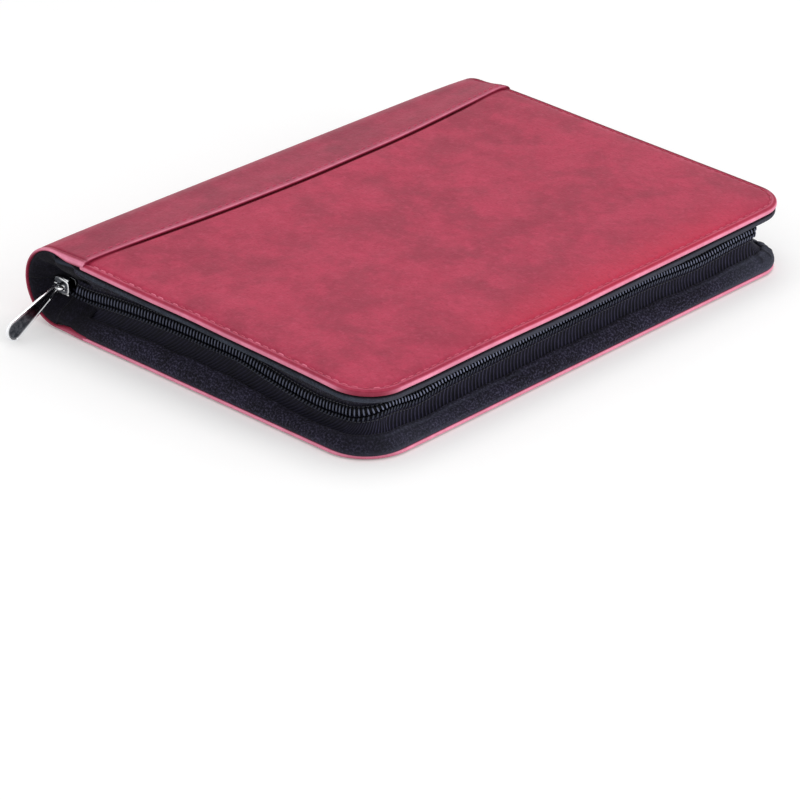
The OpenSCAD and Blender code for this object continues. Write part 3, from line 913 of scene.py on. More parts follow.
def spineStrip(name, upper, *nodes):
    # Rows run from the middle of the roll over its shoulder and along the cover to the lip, where
    # the section shrinks to its middle line: x = lip + sin, depth = middle + (depth - middle) cos
    y, n, isOuter = stripLoop()
    sunk = hump(np.abs(y) - (halfL - strip["groove"]), 0.5) * isOuter * (np.abs(y) < 119.2)
    angle = np.radians(np.concatenate([[180, 179], np.linspace(176.5, 90, 38)]))[:, None]
    radius = spineR + strip["over"] - spineTaper(y) - strip["grooveDepth"] * sunk
    arcX, arcZ = spineX + (radius - n) * np.cos(angle), (radius - n) * np.sin(angle)
    arcX[1] = arcX[0]
    share = np.concatenate([np.linspace(0, 1, flatRows + 1)[1:], np.ones(len(lipTurn))])[:, None]
    turned = np.concatenate([np.zeros(flatRows), lipTurn])[:, None]
    middle = lip["thick"] / 2
    x = spineX + (lipX(y) - middle - spineX) * share + middle * np.sin(turned)
    inRim = towardsRim(y)
    deep = n * (1 + (strip["flatRim"] / strip["rim"] - 1) * inRim * smoothStep(share / 0.5))
    deep = deep + (lip["thick"] - strip["thick"]) * (n > 0.5) * (1 - inRim) * smoothStep((share - 0.7) / 0.15)
    deep = middle + (deep - middle) * np.cos(turned)
    if upper:
        seat = coverTop(x, y, halfL, case["frontT"])
        rise = (1 - smoothStep(share)) * (strip["over"] + case["lipStep"] - spineTaper(y)) \
            + smoothStep(share) * lipRise(y)
        border = borderAt(halfL - np.minimum(np.abs(y), halfL)) * smoothStep(share / 0.7) * (1.3 + 0.5 * (y > 0))
        flat = onFront(np.stack([x, y + 0 * x, seat + rise + border - strip["grooveDepth"] * sunk - deep], -1))
        z = np.concatenate([arcZ + spineR, flat[..., 2]])
        x = np.concatenate([arcX, flat[..., 0]])
    else:
        rise = 0.35 * smoothStep(share) - (1 - smoothStep(share)) * (strip["over"] - spineTaper(y))
        z = np.maximum(np.concatenate([spineR - arcZ, rise + 0.25 * sunk + deep + 0 * x]), 0)
        x = np.concatenate([arcX, x])
    grid = np.stack([x, np.broadcast_to(y, x.shape), z], -1)
    run = runAlong(grid[:, grid.shape[1] // 4])
    side = np.abs(y) + np.where(isOuter > 0, 0, 4)
    uv = np.stack(np.broadcast_arrays(run[:, None] + (0 if upper else 300), np.sign(y) * side), -1)
    obj = gridPiece(name, grid, uv, stripMarks(y, n, isOuter, sunk, angle, upper), closeCols=True, fill=True, angle=50)
    bendOver(dress(obj, rolledLeather, "leather"), upper)
    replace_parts(obj, *nodes)


def lipStitches(name, upper, body):
    # Stitches beside the lip, through the strip into the cover, in the leather's own colour
    y = np.linspace(-halfL + 3.5, halfL - 3.5, 200)
    x = lipX(y) - lip["stitchIn"]
    if upper:
        z = coverTop(x, y, halfL, case["frontT"]) + lipRise(y) + borderAt(halfL - np.abs(y))
        path = onFront(np.stack([x, y, z + 0.02], -1))
    else:
        path = np.stack([x, y, 0.42 + 0 * y], -1)
    spots = alongPath(path, np.tile([0, 0, 1.0 if upper else -1.0], (len(y), 1)), seams["lip"]["pitch"])
    bar = stitchBar(*seams["lip"]["stitch"])
    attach(dress(manyPieces(name, bar, spots), stripThread, "leather"), body)


spineStrip("upperSpineStrip", True, "front_spine_lap", "spine_leather")
spineStrip("lowerSpineStrip", False, "back_spine_lap")
lipStitches("frontLipStitches", True, "front_half")
lipStitches("backLipStitches", False, "back_half")
print("spine strip is rolled")


# The cloth walls and the zip that runs along them

walls = {
    "lowStart": -74.8, "topStart": -70.9,      # where the lower and the upper wall begin, near and far
    "coilStart": -84.0, "farStart": -71.0,     # and the lower half of the zip
    "thick": 0.7, "tapeThick": 0.6, "bandThick": 0.5,
    "zipIn": 9.4,                              # the zip's usual distance in from the outline
    "seat": 4.2,                               # the upper wall's foot, above the zip
    "pucker": (0.4, 0.2), "puckerSize": 26,    # how far the lower wall's puckers push it in and up
    "upperPucker": 0.45, "upperPuckerSize": 30,
    # sections as (inset, height), and for the two upper ones as (inset, share of the way up) and (inset, depth)
    "lower": [[2.2, 1.2], [0.8, 1.8], [0.3, 2.9], [0.3, 4.2], [0.7, 5.5], [1.9, 7.0], [3.6, 8.1], [4.8, 8.6],
              [5.5, 8.4], [5.6, 7.8]],
    "lowerTape": [[5.1, 7.4], [6.3, 8.1], [7.8, 9.2], [8.9, 10.6], [9.5, 12.1], [9.5, 14.9]],
    "upper": [[9.4, -0.02], [9.3, 0.1], [8.0, 0.22], [5.4, 0.4], [3.3, 0.56], [2.2, 0.68], [1.7, 0.8], [1.7, 1.0]],
    "band": [[2.3, 3.2], [1.3, 3.05], [0.95, 2.4], [0.85, 1.7], [0.95, 1.0], [1.4, 0.6], [2.4, 0.5]],
}
courseAt = {   # the zip bows and dips on its way: place, distance in from the outline, height
    "near": [[-90, 9.4, 15.0], [-76, 9.4, 15.0], [-69, 9.3, 14.3], [-49, 9.6, 15.5], [-33, 10.2, 16.3],
             [-17, 10.8, 16.5], [0, 11.0, 16.5], [17, 10.8, 16.5], [32, 10.0, 14.8], [47, 9.4, 13.3],
             [62, 9.3, 12.5], [73, 9.4, 13.4]],
    "edge": [[-109, 9.4, 14.8], [-99, 9.4, 15.0], [-86, 9.4, 13.5], [-71, 9.4, 14.5], [-57, 9.5, 14.8],
             [19, 9.6, 15.5], [44, 9.5, 15.6], [73, 9.4, 14.1], [99, 9.4, 15.3], [110, 9.4, 15.2]],
    "far": [[20, 9.5, 14.2], [60, 10.2, 15.4], [110, 10.0, 15.8], [150, 9.4, 15.2], [175, 9.4, 15.2]],
}


def wallLine(nearX, farX):
    # The walls' outline in plan, its outward direction, and how far along the zip each place is
    line = openSides([0], *case["wallCorner"], nearX, farX)[:, 0]
    return line, outwardAlong(), runAlong(line) + nearX - walls["coilStart"]


nearR, farR = case["wallCorner"]
nearTurn = halfW - nearR - walls["coilStart"]              # where the near corner begins, along the zip
edgeMiddle = nearTurn + nearR * math.pi / 2 + halfL - nearR
farTurn = edgeMiddle + halfL - farR + farR * math.pi / 2


def onOpenEdge(run):
    # 1 along the open edge and 0 along the two sides, changing over round the corners
    return smoothStep((run - nearTurn - 4) / 24) * (1 - smoothStep((run - farTurn - 10) / 24))


def zipCourse(run):
    # The zip's distance in and height at each place along it, a smooth line through the table above
    near, edge, far = (np.array(courseAt[side]) for side in ("near", "edge", "far"))
    at = np.concatenate([near[:, 0] - walls["coilStart"], edgeMiddle + edge[:, 0], farTurn + far[:, 0]])
    inset, height = np.concatenate([near, edge, far])[:, 1:].T
    return softLine(run, at, inset), softLine(run, at, height)


def wallGrid(line, outward, inset, height):
    # Points at given distances in from the outline and heights
    plan = line[:, None] - outward[:, None] * inset[..., None]
    return np.concatenate([plan, np.broadcast_to(height, inset.shape)[..., None]], -1)


def wallPiece(name, way, inset, height, material, slotName, body, node, thick, marks=None):
    # A sheet that stands along the outline; its flat map is the way along and the way up
    line, outward, run = way
    grid = wallGrid(line, outward, inset, height)
    step = np.linalg.norm(np.diff(grid, axis=1), axis=2)
    up = np.concatenate([np.zeros((len(step), 1)), np.cumsum(step, axis=1)], 1)
    uv = np.stack(np.broadcast_arrays(run[:, None], up), -1)
    obj = gridPiece(name, grid, uv, marks, merge=False, outwards=False, angle=60)
    thicken(obj, thick)
    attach(dress(obj, material, slotName), body)
    if node:
        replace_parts(obj, node)


def profile(points, count):
    # A smooth profile through a few (inset, height) points, in even steps along its length, as one row each
    points = np.asarray(points, float)
    run = runAlong(points)
    at = np.linspace(0, run[-1], count)
    return softLine(at, run, points[:, 0])[None], softLine(at, run, points[:, 1])[None]


def startDip(line, start, deep, reach):
    # A wall starts a little way in, under the cloth that closes the roll's end
    return deep * (1 - smoothStep((line[:, :1] - start) / reach))


def lowerWall(run, points, count):
    # A wall below the zip: its profile leans with the zip's course, the more the higher it is,
    # and soft puckers push it in and out
    inset, height = profile(points, count)
    zipIn, zipUp = (v[:, None] for v in zipCourse(run))
    share = smoothStep((height - 3.0) / 9.5)
    pucker = ripple(run[:, None], height, walls["puckerSize"], 11, 3) \
        * np.sin(np.clip((height - 2.3) / 9, 0, 1) * math.pi)
    inwards, up = walls["pucker"]
    return inset + (zipIn - walls["zipIn"]) * share + inwards * pucker, height + (zipUp - zipZ) * share + up * pucker


gathers = {   # the lower wall's folds round the far corner
    "start": 34, "end": 12, "fade": 10,   # how far before and past the corner's end they run, and fade
    "length": 3.4, "sway": 1.5,           # from one fold to the next, and how uneven that is
    "foot": 5.4,                          # height at which they begin
    "deep": 0.45,
}
gussetPaintedLight = [0, 0, 0.12, 0.05, 0.06, 0.25, 0.3]   # painted light on the lower wall, at seven places from its start
topFold = 22.5                                     # row of the wall's mesh where it folds over to the zip


def lowerGusset(rows=30):
    # The lower wall is gathered round the far corner: its cloth swings in and out along the way by a sine
    # whose pace varies, and it gets painted shade where it swings in
    line, outward, run = wallLine(walls["lowStart"], walls["lowStart"])
    inset, height = lowerWall(run, walls["lower"], rows)
    along, row = run[:, None], np.arange(rows)[None]
    fade = gathers["fade"]
    atCorner = smoothStep((along - farTurn + gathers["start"]) / fade) \
        * (1 - smoothStep((along - farTurn - gathers["end"]) / fade))
    swing = np.sin(along * 2 * math.pi / gathers["length"] + gathers["sway"] * np.sin(along * 0.9))
    gather = atCorner * swing * smoothStep((height - gathers["foot"]) / 1.5)
    edge = onOpenEdge(along)
    # painted light: paler along the top fold, towards the sewn bottom and at places along the way, most on the open
    # edge
    paintedLightAlong = softLine(along, np.concatenate([[0], nearTurn + np.array([0, 30, 60]), farTurn - np.array([50, 25, 0])]),
                    gussetPaintedLight)
    paintedLight = (0.06 + 0.12 * edge) * hump(row - topFold, 1.2) \
        + (0.26 + 0.18 * edge) * (1 - smoothStep((row - 3.5) / 8)) + paintedLightAlong
    # painted shade: darker at the wall's start, in the near corner and where the gathers swing in
    paintedShadeLevel = 1 - smoothStep((along - 9) / 42) + 0.45 * hump(along - nearTurn - 13, 15) + 0.7 * np.maximum(-gather, 0)
    inset = inset + gathers["deep"] * gather + startDip(line, walls["lowStart"], 2.5, 14)
    wallPiece("lowerGusset", (line, outward, run), inset, height, gussetCloth, "gusset_cloth", "back_half",
              "lower_gusset", walls["thick"], {"band": paintedLight, "dull": np.minimum(paintedShadeLevel, 1)})


def lowerTape():
    # The tape below the coil; its ribs show most along the open edge
    way = wallLine(walls["coilStart"], walls["farStart"])
    run = way[2]
    ribs = (0.3 + 0.7 * onOpenEdge(run[:, None])) * smoothStep((run[:, None] - 14) / 16)
    wallPiece("lowerZipTape", way, *lowerWall(run, walls["lowerTape"], 14), zipTape, "zip_tape", "back_half",
              "lower_zip_tape", walls["tapeThick"], {"ribs": ribs})


def upperWalls():
    # Between the zip and the front cover the wall slopes out: its height is a share of the way from the
    # zip up to the cover. A folded band under the cover hides its top, and the tape stands on the zip.
    way = line, _, run = wallLine(walls["topStart"], walls["topStart"])
    zipIn, zipUp = (v[:, None] for v in zipCourse(run))
    roof = roofAt(line[:, :1], line[:, 1:])
    dip = startDip(line, walls["topStart"], 2.2, 10)
    inset, share = profile(walls["upper"], 20)
    pucker = ripple(run[:, None], share * 12, walls["upperPuckerSize"], 23, 3) * np.sin(np.clip(share, 0, 1) * math.pi)
    lean = (zipIn - walls["zipIn"]) * smoothStep(1 - share)
    wallPiece("upperGusset", way, inset + lean + walls["upperPucker"] * pucker + dip,
              zipUp + walls["seat"] + (roof - zipUp - walls["seat"]) * share, gussetCloth, "gusset_cloth",
              "front_half", "upper_gusset", walls["thick"])
    inset, below = profile(walls["band"], 16)
    below = below * (0.45 + 0.55 * smoothStep((line[:, :1] - walls["topStart"]) / 14))
    # painted shade in the gap under the cover's edge, and painted light along the open edge
    shade, paintedLight = 0.9 * (1 - smoothStep((below - 0.8) / 0.7)), 0.4 * onOpenEdge(run)[:, None]
    wallPiece("upperBand", way, inset + dip + 0.15 * ripple(run[:, None], below, 34, 29, 2), roof - below, bandCloth,
              "gusset_cloth", "front_half", None, walls["bandThick"], {"shade": shade, "band": paintedLight})
    rise = np.linspace(0.3, 4.8, 6)[None]
    wallPiece("upperZipTape", way, zipIn + 0.1 + 0 * rise, zipUp + rise, zipTape, "zip_tape", "front_half",
              "upper_zip_tape", walls["tapeThick"], {"ribs": 0.3})


lowerGusset()
lowerTape()
upperWalls()

coils = {
    "lower": {
        "ends": (walls["coilStart"], walls["farStart"]), "body": "back_half",
        "low": -2.6, "high": -1.0,       # the turns' feet and heads, from the middle of the zip
        "pitch": 1.62, "shift": 0.85,    # spacing, and where the first turn is
        "radius": 0.36, "depth": 1.05,   # a turn's bar, and how far it stands out from the tape
        "paintedGlint": (0.18, 0.22, 0.26, 0.5),    # painted highlight, how bright: near corner, edge's start and middle, far corner
        "grow": 0.1, "lift": 1.3, "lean": 0.0,    # how much longer, higher and more slanted on the open edge
        "thread": -3.0,                  # height of the stitches that hold the coil
    },
    "upper": {
        "ends": (walls["topStart"], walls["topStart"]), "body": "front_half", "low": -0.7, "high": 3.1,
        "pitch": 1.62, "shift": 0.0, "radius": 0.32, "depth": 1.25, "paintedGlint": (0.42, 0.75, 0.75, 0.75),
        "grow": -0.3, "lift": 0.87, "lean": 0.7, "thread": 3.1,
    },
}


def zipTeeth(half):
    # One row of the coil: a bent bar per turn, standing on the tape with its foot turned in, round a
    # filler cord. A bar runs up by t, out by 0.3 + 0.7 (1 - t^5), and thins to its ends, 1 - t^5.
    coil = coils[half]
    low, high, depth = coil["low"], coil["high"], coil["depth"]
    line, outward, run = wallLine(*coil["ends"])
    inset, height = zipCourse(run)
    size = 1 + coil["grow"] * onOpenEdge(run)
    height = height + coil["lift"] * onOpenEdge(run)
    path = np.concatenate([line - outward * inset[:, None], height[:, None]], 1)
    spots = alongPath(path, np.tile([0.0, 0.0, 1.0], (len(path), 1)), coil["pitch"], start=coil["shift"])
    length, at = runAlong(path), np.arange(len(spots)) * coil["pitch"] + coil["shift"]
    edge = np.interp(at, length, onOpenEdge(run))[:, None]
    spots[:, 3] = (spots[:, 3] - coil["lean"] * edge * spots[:, 1]) * (1 + coil["grow"] * edge)
    t, sides = np.linspace(-1, 1, 9), 8
    # across points inwards, so the bar stands out on its other side
    middle = -depth * (0.3 + 0.7 * (1 - np.abs(t)**5))
    bar = np.stack([0.45 * t, middle, (low + high) / 2 + (high - low) / 2 * t], -1)
    points, faces = tube(bar, coil["radius"] * (1 - np.abs(t) ** 5) + 0.02, sides, up=(1, 0, 0))
    # painted highlight on each turn's outer face, stronger in some stretches of the zip
    outside = (np.repeat(middle, sides) - points[:, 1]) / coil["radius"]
    pale = smoothStep((outside - 0.3) / 0.6) * (1 - np.repeat(np.abs(t), sides) ** 6)
    paintedGlintLevel = softLine(np.interp(at, length, run),
                     [nearTurn + 4, nearTurn + 28, edgeMiddle + 20, farTurn - 10, farTurn + 30],
                     [*coil["paintedGlint"], coil["paintedGlint"][0]])
    obj = manyPieces(half + "ZipTeeth", (points, faces), spots, marks={"paintedGlint": (paintedGlintLevel[:, None] * pale).ravel()})
    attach(dress(obj, zipNylon, "zip_teeth"), coil["body"])
    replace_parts(obj, half + "_zip_coil")
    a = np.linspace(0, 2 * math.pi, 12, endpoint=False)[None]
    out, up = 0.4 + 0.5 * np.cos(a), size[:, None] * ((low + high) / 2 + ((high - low) / 2 - 0.2) * np.sin(a))
    cord = gridPiece(half + "ZipTeethCord", wallGrid(line, outward, inset[:, None] - out, height[:, None] + up),
                     closeCols=True, fill=True, angle=60)
    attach(dress(cord, zipNylon, "zip_teeth"), coil["body"])


def zipThread(half):
    # The line of lockstitches that holds the coil to its tape
    coil = coils[half]
    line, outward, run = wallLine(*coil["ends"])
    inset, height = zipCourse(run)
    path = np.concatenate([line - outward * (inset - 0.25)[:, None], height[:, None] + coil["thread"]], 1)
    spots = alongPath(path, np.concatenate([outward, 0 * height[:, None]], 1), seams["zip"]["pitch"])
    bar = stitchBar(*seams["zip"]["stitch"])
    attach(dress(manyPieces(half + "ZipThread", bar, spots), clothThread, "zip_tape"), coil["body"])


for sewOn in (zipTeeth, zipThread):
    for half in coils:
        sewOn(half)
print("walls and zip are sewn")


# Inside the roll: the lining and the cloth that closes each end

spineCloth = {"radius": 15.5, "thick": 0.4, "reach": 113.5, "under": 0.45}


def spineLining(name, upper):
    # Lining against the roll, an arc from its middle and then flat on to the cover's lining, as a thin
    # closed shell
    angle = np.radians(np.concatenate([[180, 179], np.linspace(176, 90, 30)]))[:, None]
    y = np.linspace(-spineCloth["reach"], spineCloth["reach"], 64)[None]
    inner = spineCloth["radius"] - spineTaper(y) + 0.12 * ripple(y, np.degrees(angle) * 0.3, 40, 31)
    flat = np.array([1.0, 2.5, 4.0, 5.0, 5.5])[:, None]
    shells = []
    for depth in (0.0, spineCloth["thick"]):
        r = inner + depth
        x = np.concatenate([spineX + r * np.cos(angle), spineX + flat + 0 * y])
        x[1] = x[0]
        onCover = x[-len(flat):]
        if upper:
            seat = edgeGapZ + (halfW - onCover) * math.tan(tilt)
        else:
            seat = 2 * spineR - case["backT"] + 0 * onCover
        z = np.concatenate([spineR + r * np.sin(angle), seat - spineCloth["under"] + depth])
        shells.append(np.stack([x, y + 0 * x, z if upper else 2 * spineR - z], -1))
    uv = np.stack(np.broadcast_arrays(np.linspace(0, 32, len(x))[:, None], y), -1)
    obj = dress(shellPiece(name, *shells, uv), rolledLining, "lining")
    bendOver(obj, upper)
    return obj


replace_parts(spineLining("upperSpineLining", True), "spine_lining")
spineLining("lowerSpineLining", False)

endWall = {
    "farX": -60.0,      # how far it reaches under the covers
    "middle": 2.0,      # its middle line, past the roll's axis
    "thick": 0.5,
    "folds": 0.9, "foldSize": 13, "seed": 41,
    "rows": [0, 0.4, 0.9, 1.5, 2.2, 3.0, 3.8, 4.8, 6.0, 7.4, 9.0, 10.8, 12.8, 14.9],   # of its mesh, in from the rim
    "depth": [0, 0.4, 0.9, 1.6, 2.75, 4.0, 5.5, 7.5, 9.75, 11.25, 13, 18],      # distance in from the rim
    "upper": [1.9, 1.3, 0.95, 0.9, 1.3, 2.0, 3.3, 5.4, 8.0, 9.6, 11.2, 12.6],   # sunk under the front cover
    "lower": [1.6, 1.0, 0.8, 0.75, 1.0, 1.8, 3.6, 7.2, 9.6, 10.8, 12.0, 12.6],  # sunk over the back cover
}


def endPiece(name, way, upper):
    # Cloth sunk into one end of the roll, above or below its middle: the rim's outline drawn in towards
    # a middle line, sinking as it goes by the table above, with folds that fan out between rim and middle
    bend = np.radians(np.linspace(90, 270, 45))
    top = np.linspace(endWall["farX"], spineX, 16)[:-1]
    y0 = way * (halfL - 1)
    slack = spineTaper(y0) * (1 - smoothStep((top - spineX) / 12))
    radius = spineR - strip["rim"] + 0.3 - spineTaper(y0)
    rimX = np.concatenate([top, spineX + radius * np.cos(bend), top[::-1]])
    rimZ = np.concatenate([roofAt(top, y0) - 0.1 - slack, spineR + radius * np.sin(bend),
                           (case["backT"] + 0.1 + slack)[::-1]])
    middleX = np.maximum(rimX, spineX + endWall["middle"])
    reach = np.hypot(rimX - middleX, rimZ - spineR)[:, None]
    depth = np.array(endWall["rows"])[None]
    share = np.minimum(depth / reach, 1)
    share[:, -1] = 1
    x = rimX[:, None] + (middleX - rimX)[:, None] * share
    z = rimZ[:, None] + (spineR - rimZ)[:, None] * share
    turn = smoothStep((rimZ[:, None] - case["backT"]) / 22)
    sunkUpper, sunkLower = (softLine(share * reach, endWall["depth"], endWall[half]) for half in ("upper", "lower"))
    along = np.concatenate([[0], np.cumsum(np.hypot(np.diff(rimX), np.diff(rimZ)))])[:, None]
    folds = ripple(along, depth * 0.6, endWall["foldSize"], endWall["seed"] + way, 3) \
        * np.sin(np.clip((share * reach - 1) / 12, 0, 1) * math.pi)
    sink = sunkUpper * turn + sunkLower * (1 - turn) - endWall["folds"] * folds + 1.4 * smoothStep((x + 71) / 8)
    grid = np.stack([x, way * (halfL - sink), z], -1)
    uv = np.stack(np.broadcast_arrays(along, depth), -1)
    # painted highlight along the rim, strongest along its top under the front cover
    band = smoothStep((depth - 0.2) / 0.4) * (1 - smoothStep((depth - 1.5) / 0.6)) \
        * (0.12 + 0.75 * smoothStep((rimX[:, None] + 78) / 8) * (rimZ[:, None] > spineR))
    middle = len(rimX) // 2
    part = slice(0, middle + 1) if upper else slice(middle, len(rimX))
    obj = gridPiece(name, grid[part], uv[part], {"band": band[part]}, merge=False, outwards=False, flip=way > 0,
                    angle=70)
    thicken(obj, endWall["thick"])
    bendOver(dress(obj, endCloth, "gusset_cloth"), upper)
    return obj


for endName, way in (("Near", -1), ("Far", 1)):
    endCloths = [endPiece(half + "EndCloth" + endName, way, half == "upper") for half in ("upper", "lower")]
    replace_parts(endCloths[0], "end_gusset_" + endName.lower())
print("ends are closed")


# Slider, pull and stop

def roundBlock(low, high, radius, steps=24, paintedShine=0.8):
    # A block with rounded edges: each point of a sphere pushed out to the block's corners
    low, high = np.asarray(low, float), np.asarray(high, float)
    turn = (np.arange(steps) + 0.5) / steps * 2 * math.pi
    rise = (np.arange(steps // 2) + 0.5) / (steps // 2) * math.pi - math.pi / 2
    ball = np.stack([np.cos(turn)[None] * np.cos(rise)[:, None], np.sin(turn)[None] * np.cos(rise)[:, None],
                     np.broadcast_to(np.sin(rise)[:, None], (len(rise), steps))], -1)
    points = (low + high) / 2 + np.sign(ball) * ((high - low) / 2 - radius) + radius * ball
    pole = np.stack([np.broadcast_to(points[row].mean(0), (steps, 3)) for row in (0, -1)])
    points = np.concatenate([pole[:1], points, pole[1:]])
    return points.reshape(-1, 3), gridFaces(len(points), steps, closeCols=True), np.full(points.size // 3, paintedShine)


def platePart(outline, thick, edge, place, paintedShine):
    # A plate with rolled edges from a plan outline: rings set in along its normals, from the middle
    # of one face over the edge to the middle of the other
    a = np.radians([-90, -60, -30, 0, 30, 60, 90])
    insets = np.concatenate([[2.2 * edge], edge - edge * np.cos(a), [2.2 * edge]])
    heights = (thick / 2 - edge) * np.sign(np.sin(a)) + edge * np.sin(a)
    heights = np.concatenate([[-thick / 2] * 2, heights, [thick / 2] * 2])
    rings = outline[None] - outlineNormals(outline)[None] * insets[:, None, None]
    middle = np.broadcast_to(outline.mean(0), outline.shape)[None]
    flat = np.concatenate([middle, rings, middle])
    points = place(np.concatenate([flat, np.broadcast_to(heights[:, None, None], flat.shape[:2] + (1,))], -1))
    # the rolled edge's brightness, a painted highlight
    inRim = np.array([0, 0, 0.6, 1, 1, 1, 1, 1, 0.6, 0, 0])[:, None] * paintedShine
    return points.reshape(-1, 3), gridFaces(*flat.shape[:2], closeCols=True), inRim.ravel()


def joined(name, parts, mark="rim", **how):
    # Several closed shapes as one piece
    starts = np.cumsum([0] + [len(part[0]) for part in parts])
    return meshPiece(name, np.concatenate([part[0] for part in parts]),
                     np.concatenate([part[1] + start for part, start in zip(parts, starts)]),
                     marks={mark: np.concatenate([part[2] for part in parts])}, **how)


def fitOn(obj, material, slotName, body, node):
    # Dresses a hard piece, rides it on its body and puts it in its solid's place
    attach(dress(obj, material, slotName), body)
    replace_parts(obj, node)


sliderBox = corners("slider_body")
slider = {
    "back": sliderBox[0, 0], "front": sliderBox[1, 0], "low": sliderBox[0, 2], "top": sliderBox[1, 2],
    "outer": 7.15, "inner": 11.7,    # its two plates, in from the outline
    "plate": 1.1, "roll": 0.35,      # their thickness and the radius of their edges
    "lipDepth": 1.0,                 # the flanges that hold the coil in
    "shoulder": 0.2,                 # how much narrower it is where the chains run out joined
    "post": (14.3, 16.1),            # height range of the post between the chains
}
sliderMiddle = (slider["back"] + slider["front"]) / 2


def shield(shrink=0.0):
    # The slider's plan: a rounded square, |cos|^0.55 by |sin|^0.5, with square shoulders where the
    # chains part, narrower where they run out joined
    a = np.linspace(0, 2 * math.pi, 64, endpoint=False)
    half = (slider["front"] - slider["back"]) / 2 - shrink
    x = half * np.sign(np.cos(a)) * np.abs(np.cos(a)) ** 0.55
    taper = 1 - slider["shoulder"] * smoothStep((x / half + 1) / 2)
    z = (slider["top"] - slider["low"] - 2 * shrink) / 2 * taper * np.sign(np.sin(a)) * np.abs(np.sin(a)) ** 0.5
    return np.stack([sliderMiddle + x, (slider["top"] + slider["low"]) / 2 + z], -1)


def onSide(inset):
    # Puts a plan in x and z on the near side, at a distance in from the outline
    return lambda p: np.stack([p[..., 0], -(halfL - inset) - p[..., 2], p[..., 1]], -1)


def sliderBody():
    # Two plates, a post between the chains and two flanges along the outer plate
    plate, yOuter, yInner = slider["plate"], slider["outer"] - halfL, slider["inner"] - halfL
    flanges = [roundBlock([slider["back"] + 1.2, yOuter, z],
                          [slider["front"] - 0.6, yOuter + plate / 2 + slider["lipDepth"], z + 0.8], 0.25)
               for z in (slider["low"] + 0.35, slider["top"] - 1.15)]
    post = roundBlock([slider["back"] + 0.8, yOuter, slider["post"][0]],
                      [slider["back"] + 2.6, yInner, slider["post"][1]], 0.4)
    # painted highlight: the plates are brightest towards the chains' joined end; the inner plate is kept dark as
    # painted shade
    paintedShine = 0.1 + 0.9 * smoothStep((shield()[:, 0] - sliderMiddle + 1) / 1.5)
    plates = [platePart(shield(), plate, slider["roll"], onSide(slider["outer"]), paintedShine),
              platePart(shield(0.9), plate, slider["roll"], onSide(slider["inner"]), 0.1 * paintedShine)]
    return joined("sliderBody", plates + [post] + flanges, angle=35)


bridge = {
    "y": -115.45, "z": 15.2,                                 # the bar's middle line
    "x": [-80.2, -80.2, -80.2, -80.0, -79.5, -78.6, -77.6, -76.7, -76.2, -76.0, -76.0, -76.0],
    "radius": [1.0, 0.95, 0.8, 0.7, 0.65, 0.65, 0.65, 0.65, 0.7, 0.8, 0.95, 1.0],
}


def sliderBridge():
    # The arch that the pull hangs from, carried along its table from one foot to the other
    barY, barZ = bridge["y"], bridge["z"]
    faceY = slider["outer"] - halfL - slider["plate"] / 2
    rise = [faceY + 0.3, faceY - 0.6, barY + 0.9, barY + 0.3, barY, barY]
    arch = np.stack([bridge["x"], rise + rise[::-1], np.full(12, barZ)], -1)
    bar = tube(arch, bridge["radius"], 16)
    feet = [roundBlock([x - 0.9, faceY - 0.7, barZ - 1.3], [x + 0.9, faceY + 0.3, barZ + 1.3], 0.35)
            for x in (bridge["x"][0], bridge["x"][-1])]
    return joined("sliderBridge", [bar + (np.ones(len(bar[0])),)] + feet, fill=True, angle=50)


pull = {
    "length": 28.3,    # from its pivot to its tip
    "headR": 1.7, "endR": 4.3, "thick": 1.3, "hole": 0.85,
    "rim": 0.75,       # width of its raised rim
    "sunk": 0.28,      # how far its faces are sunk inside the rim
    "lean": 64,        # how far it leans out from hanging straight down
    "x": -78.1,
}


def pullRing():
    # The pull's outline round its hole: a small head circle and a larger end circle joined by tangents
    reach = pull["length"] - pull["endR"]
    lean = math.acos((pull["headR"] - pull["endR"]) / reach)
    head = np.linspace(lean, 2 * math.pi - lean, 22)
    end = np.linspace(-lean, lean, 40)
    side = np.linspace(0, 1, 22)[1:-1, None]
    headXY = pull["headR"] * np.stack([np.cos(head), np.sin(head)], -1)
    endXY = pull["endR"] * np.stack([np.cos(end), np.sin(end)], -1) + [reach, 0]
    return np.concatenate([headXY, headXY[-1] + (endXY[0] - headXY[-1]) * side, endXY,
                           endXY[-1] + (headXY[0] - endXY[-1]) * side])


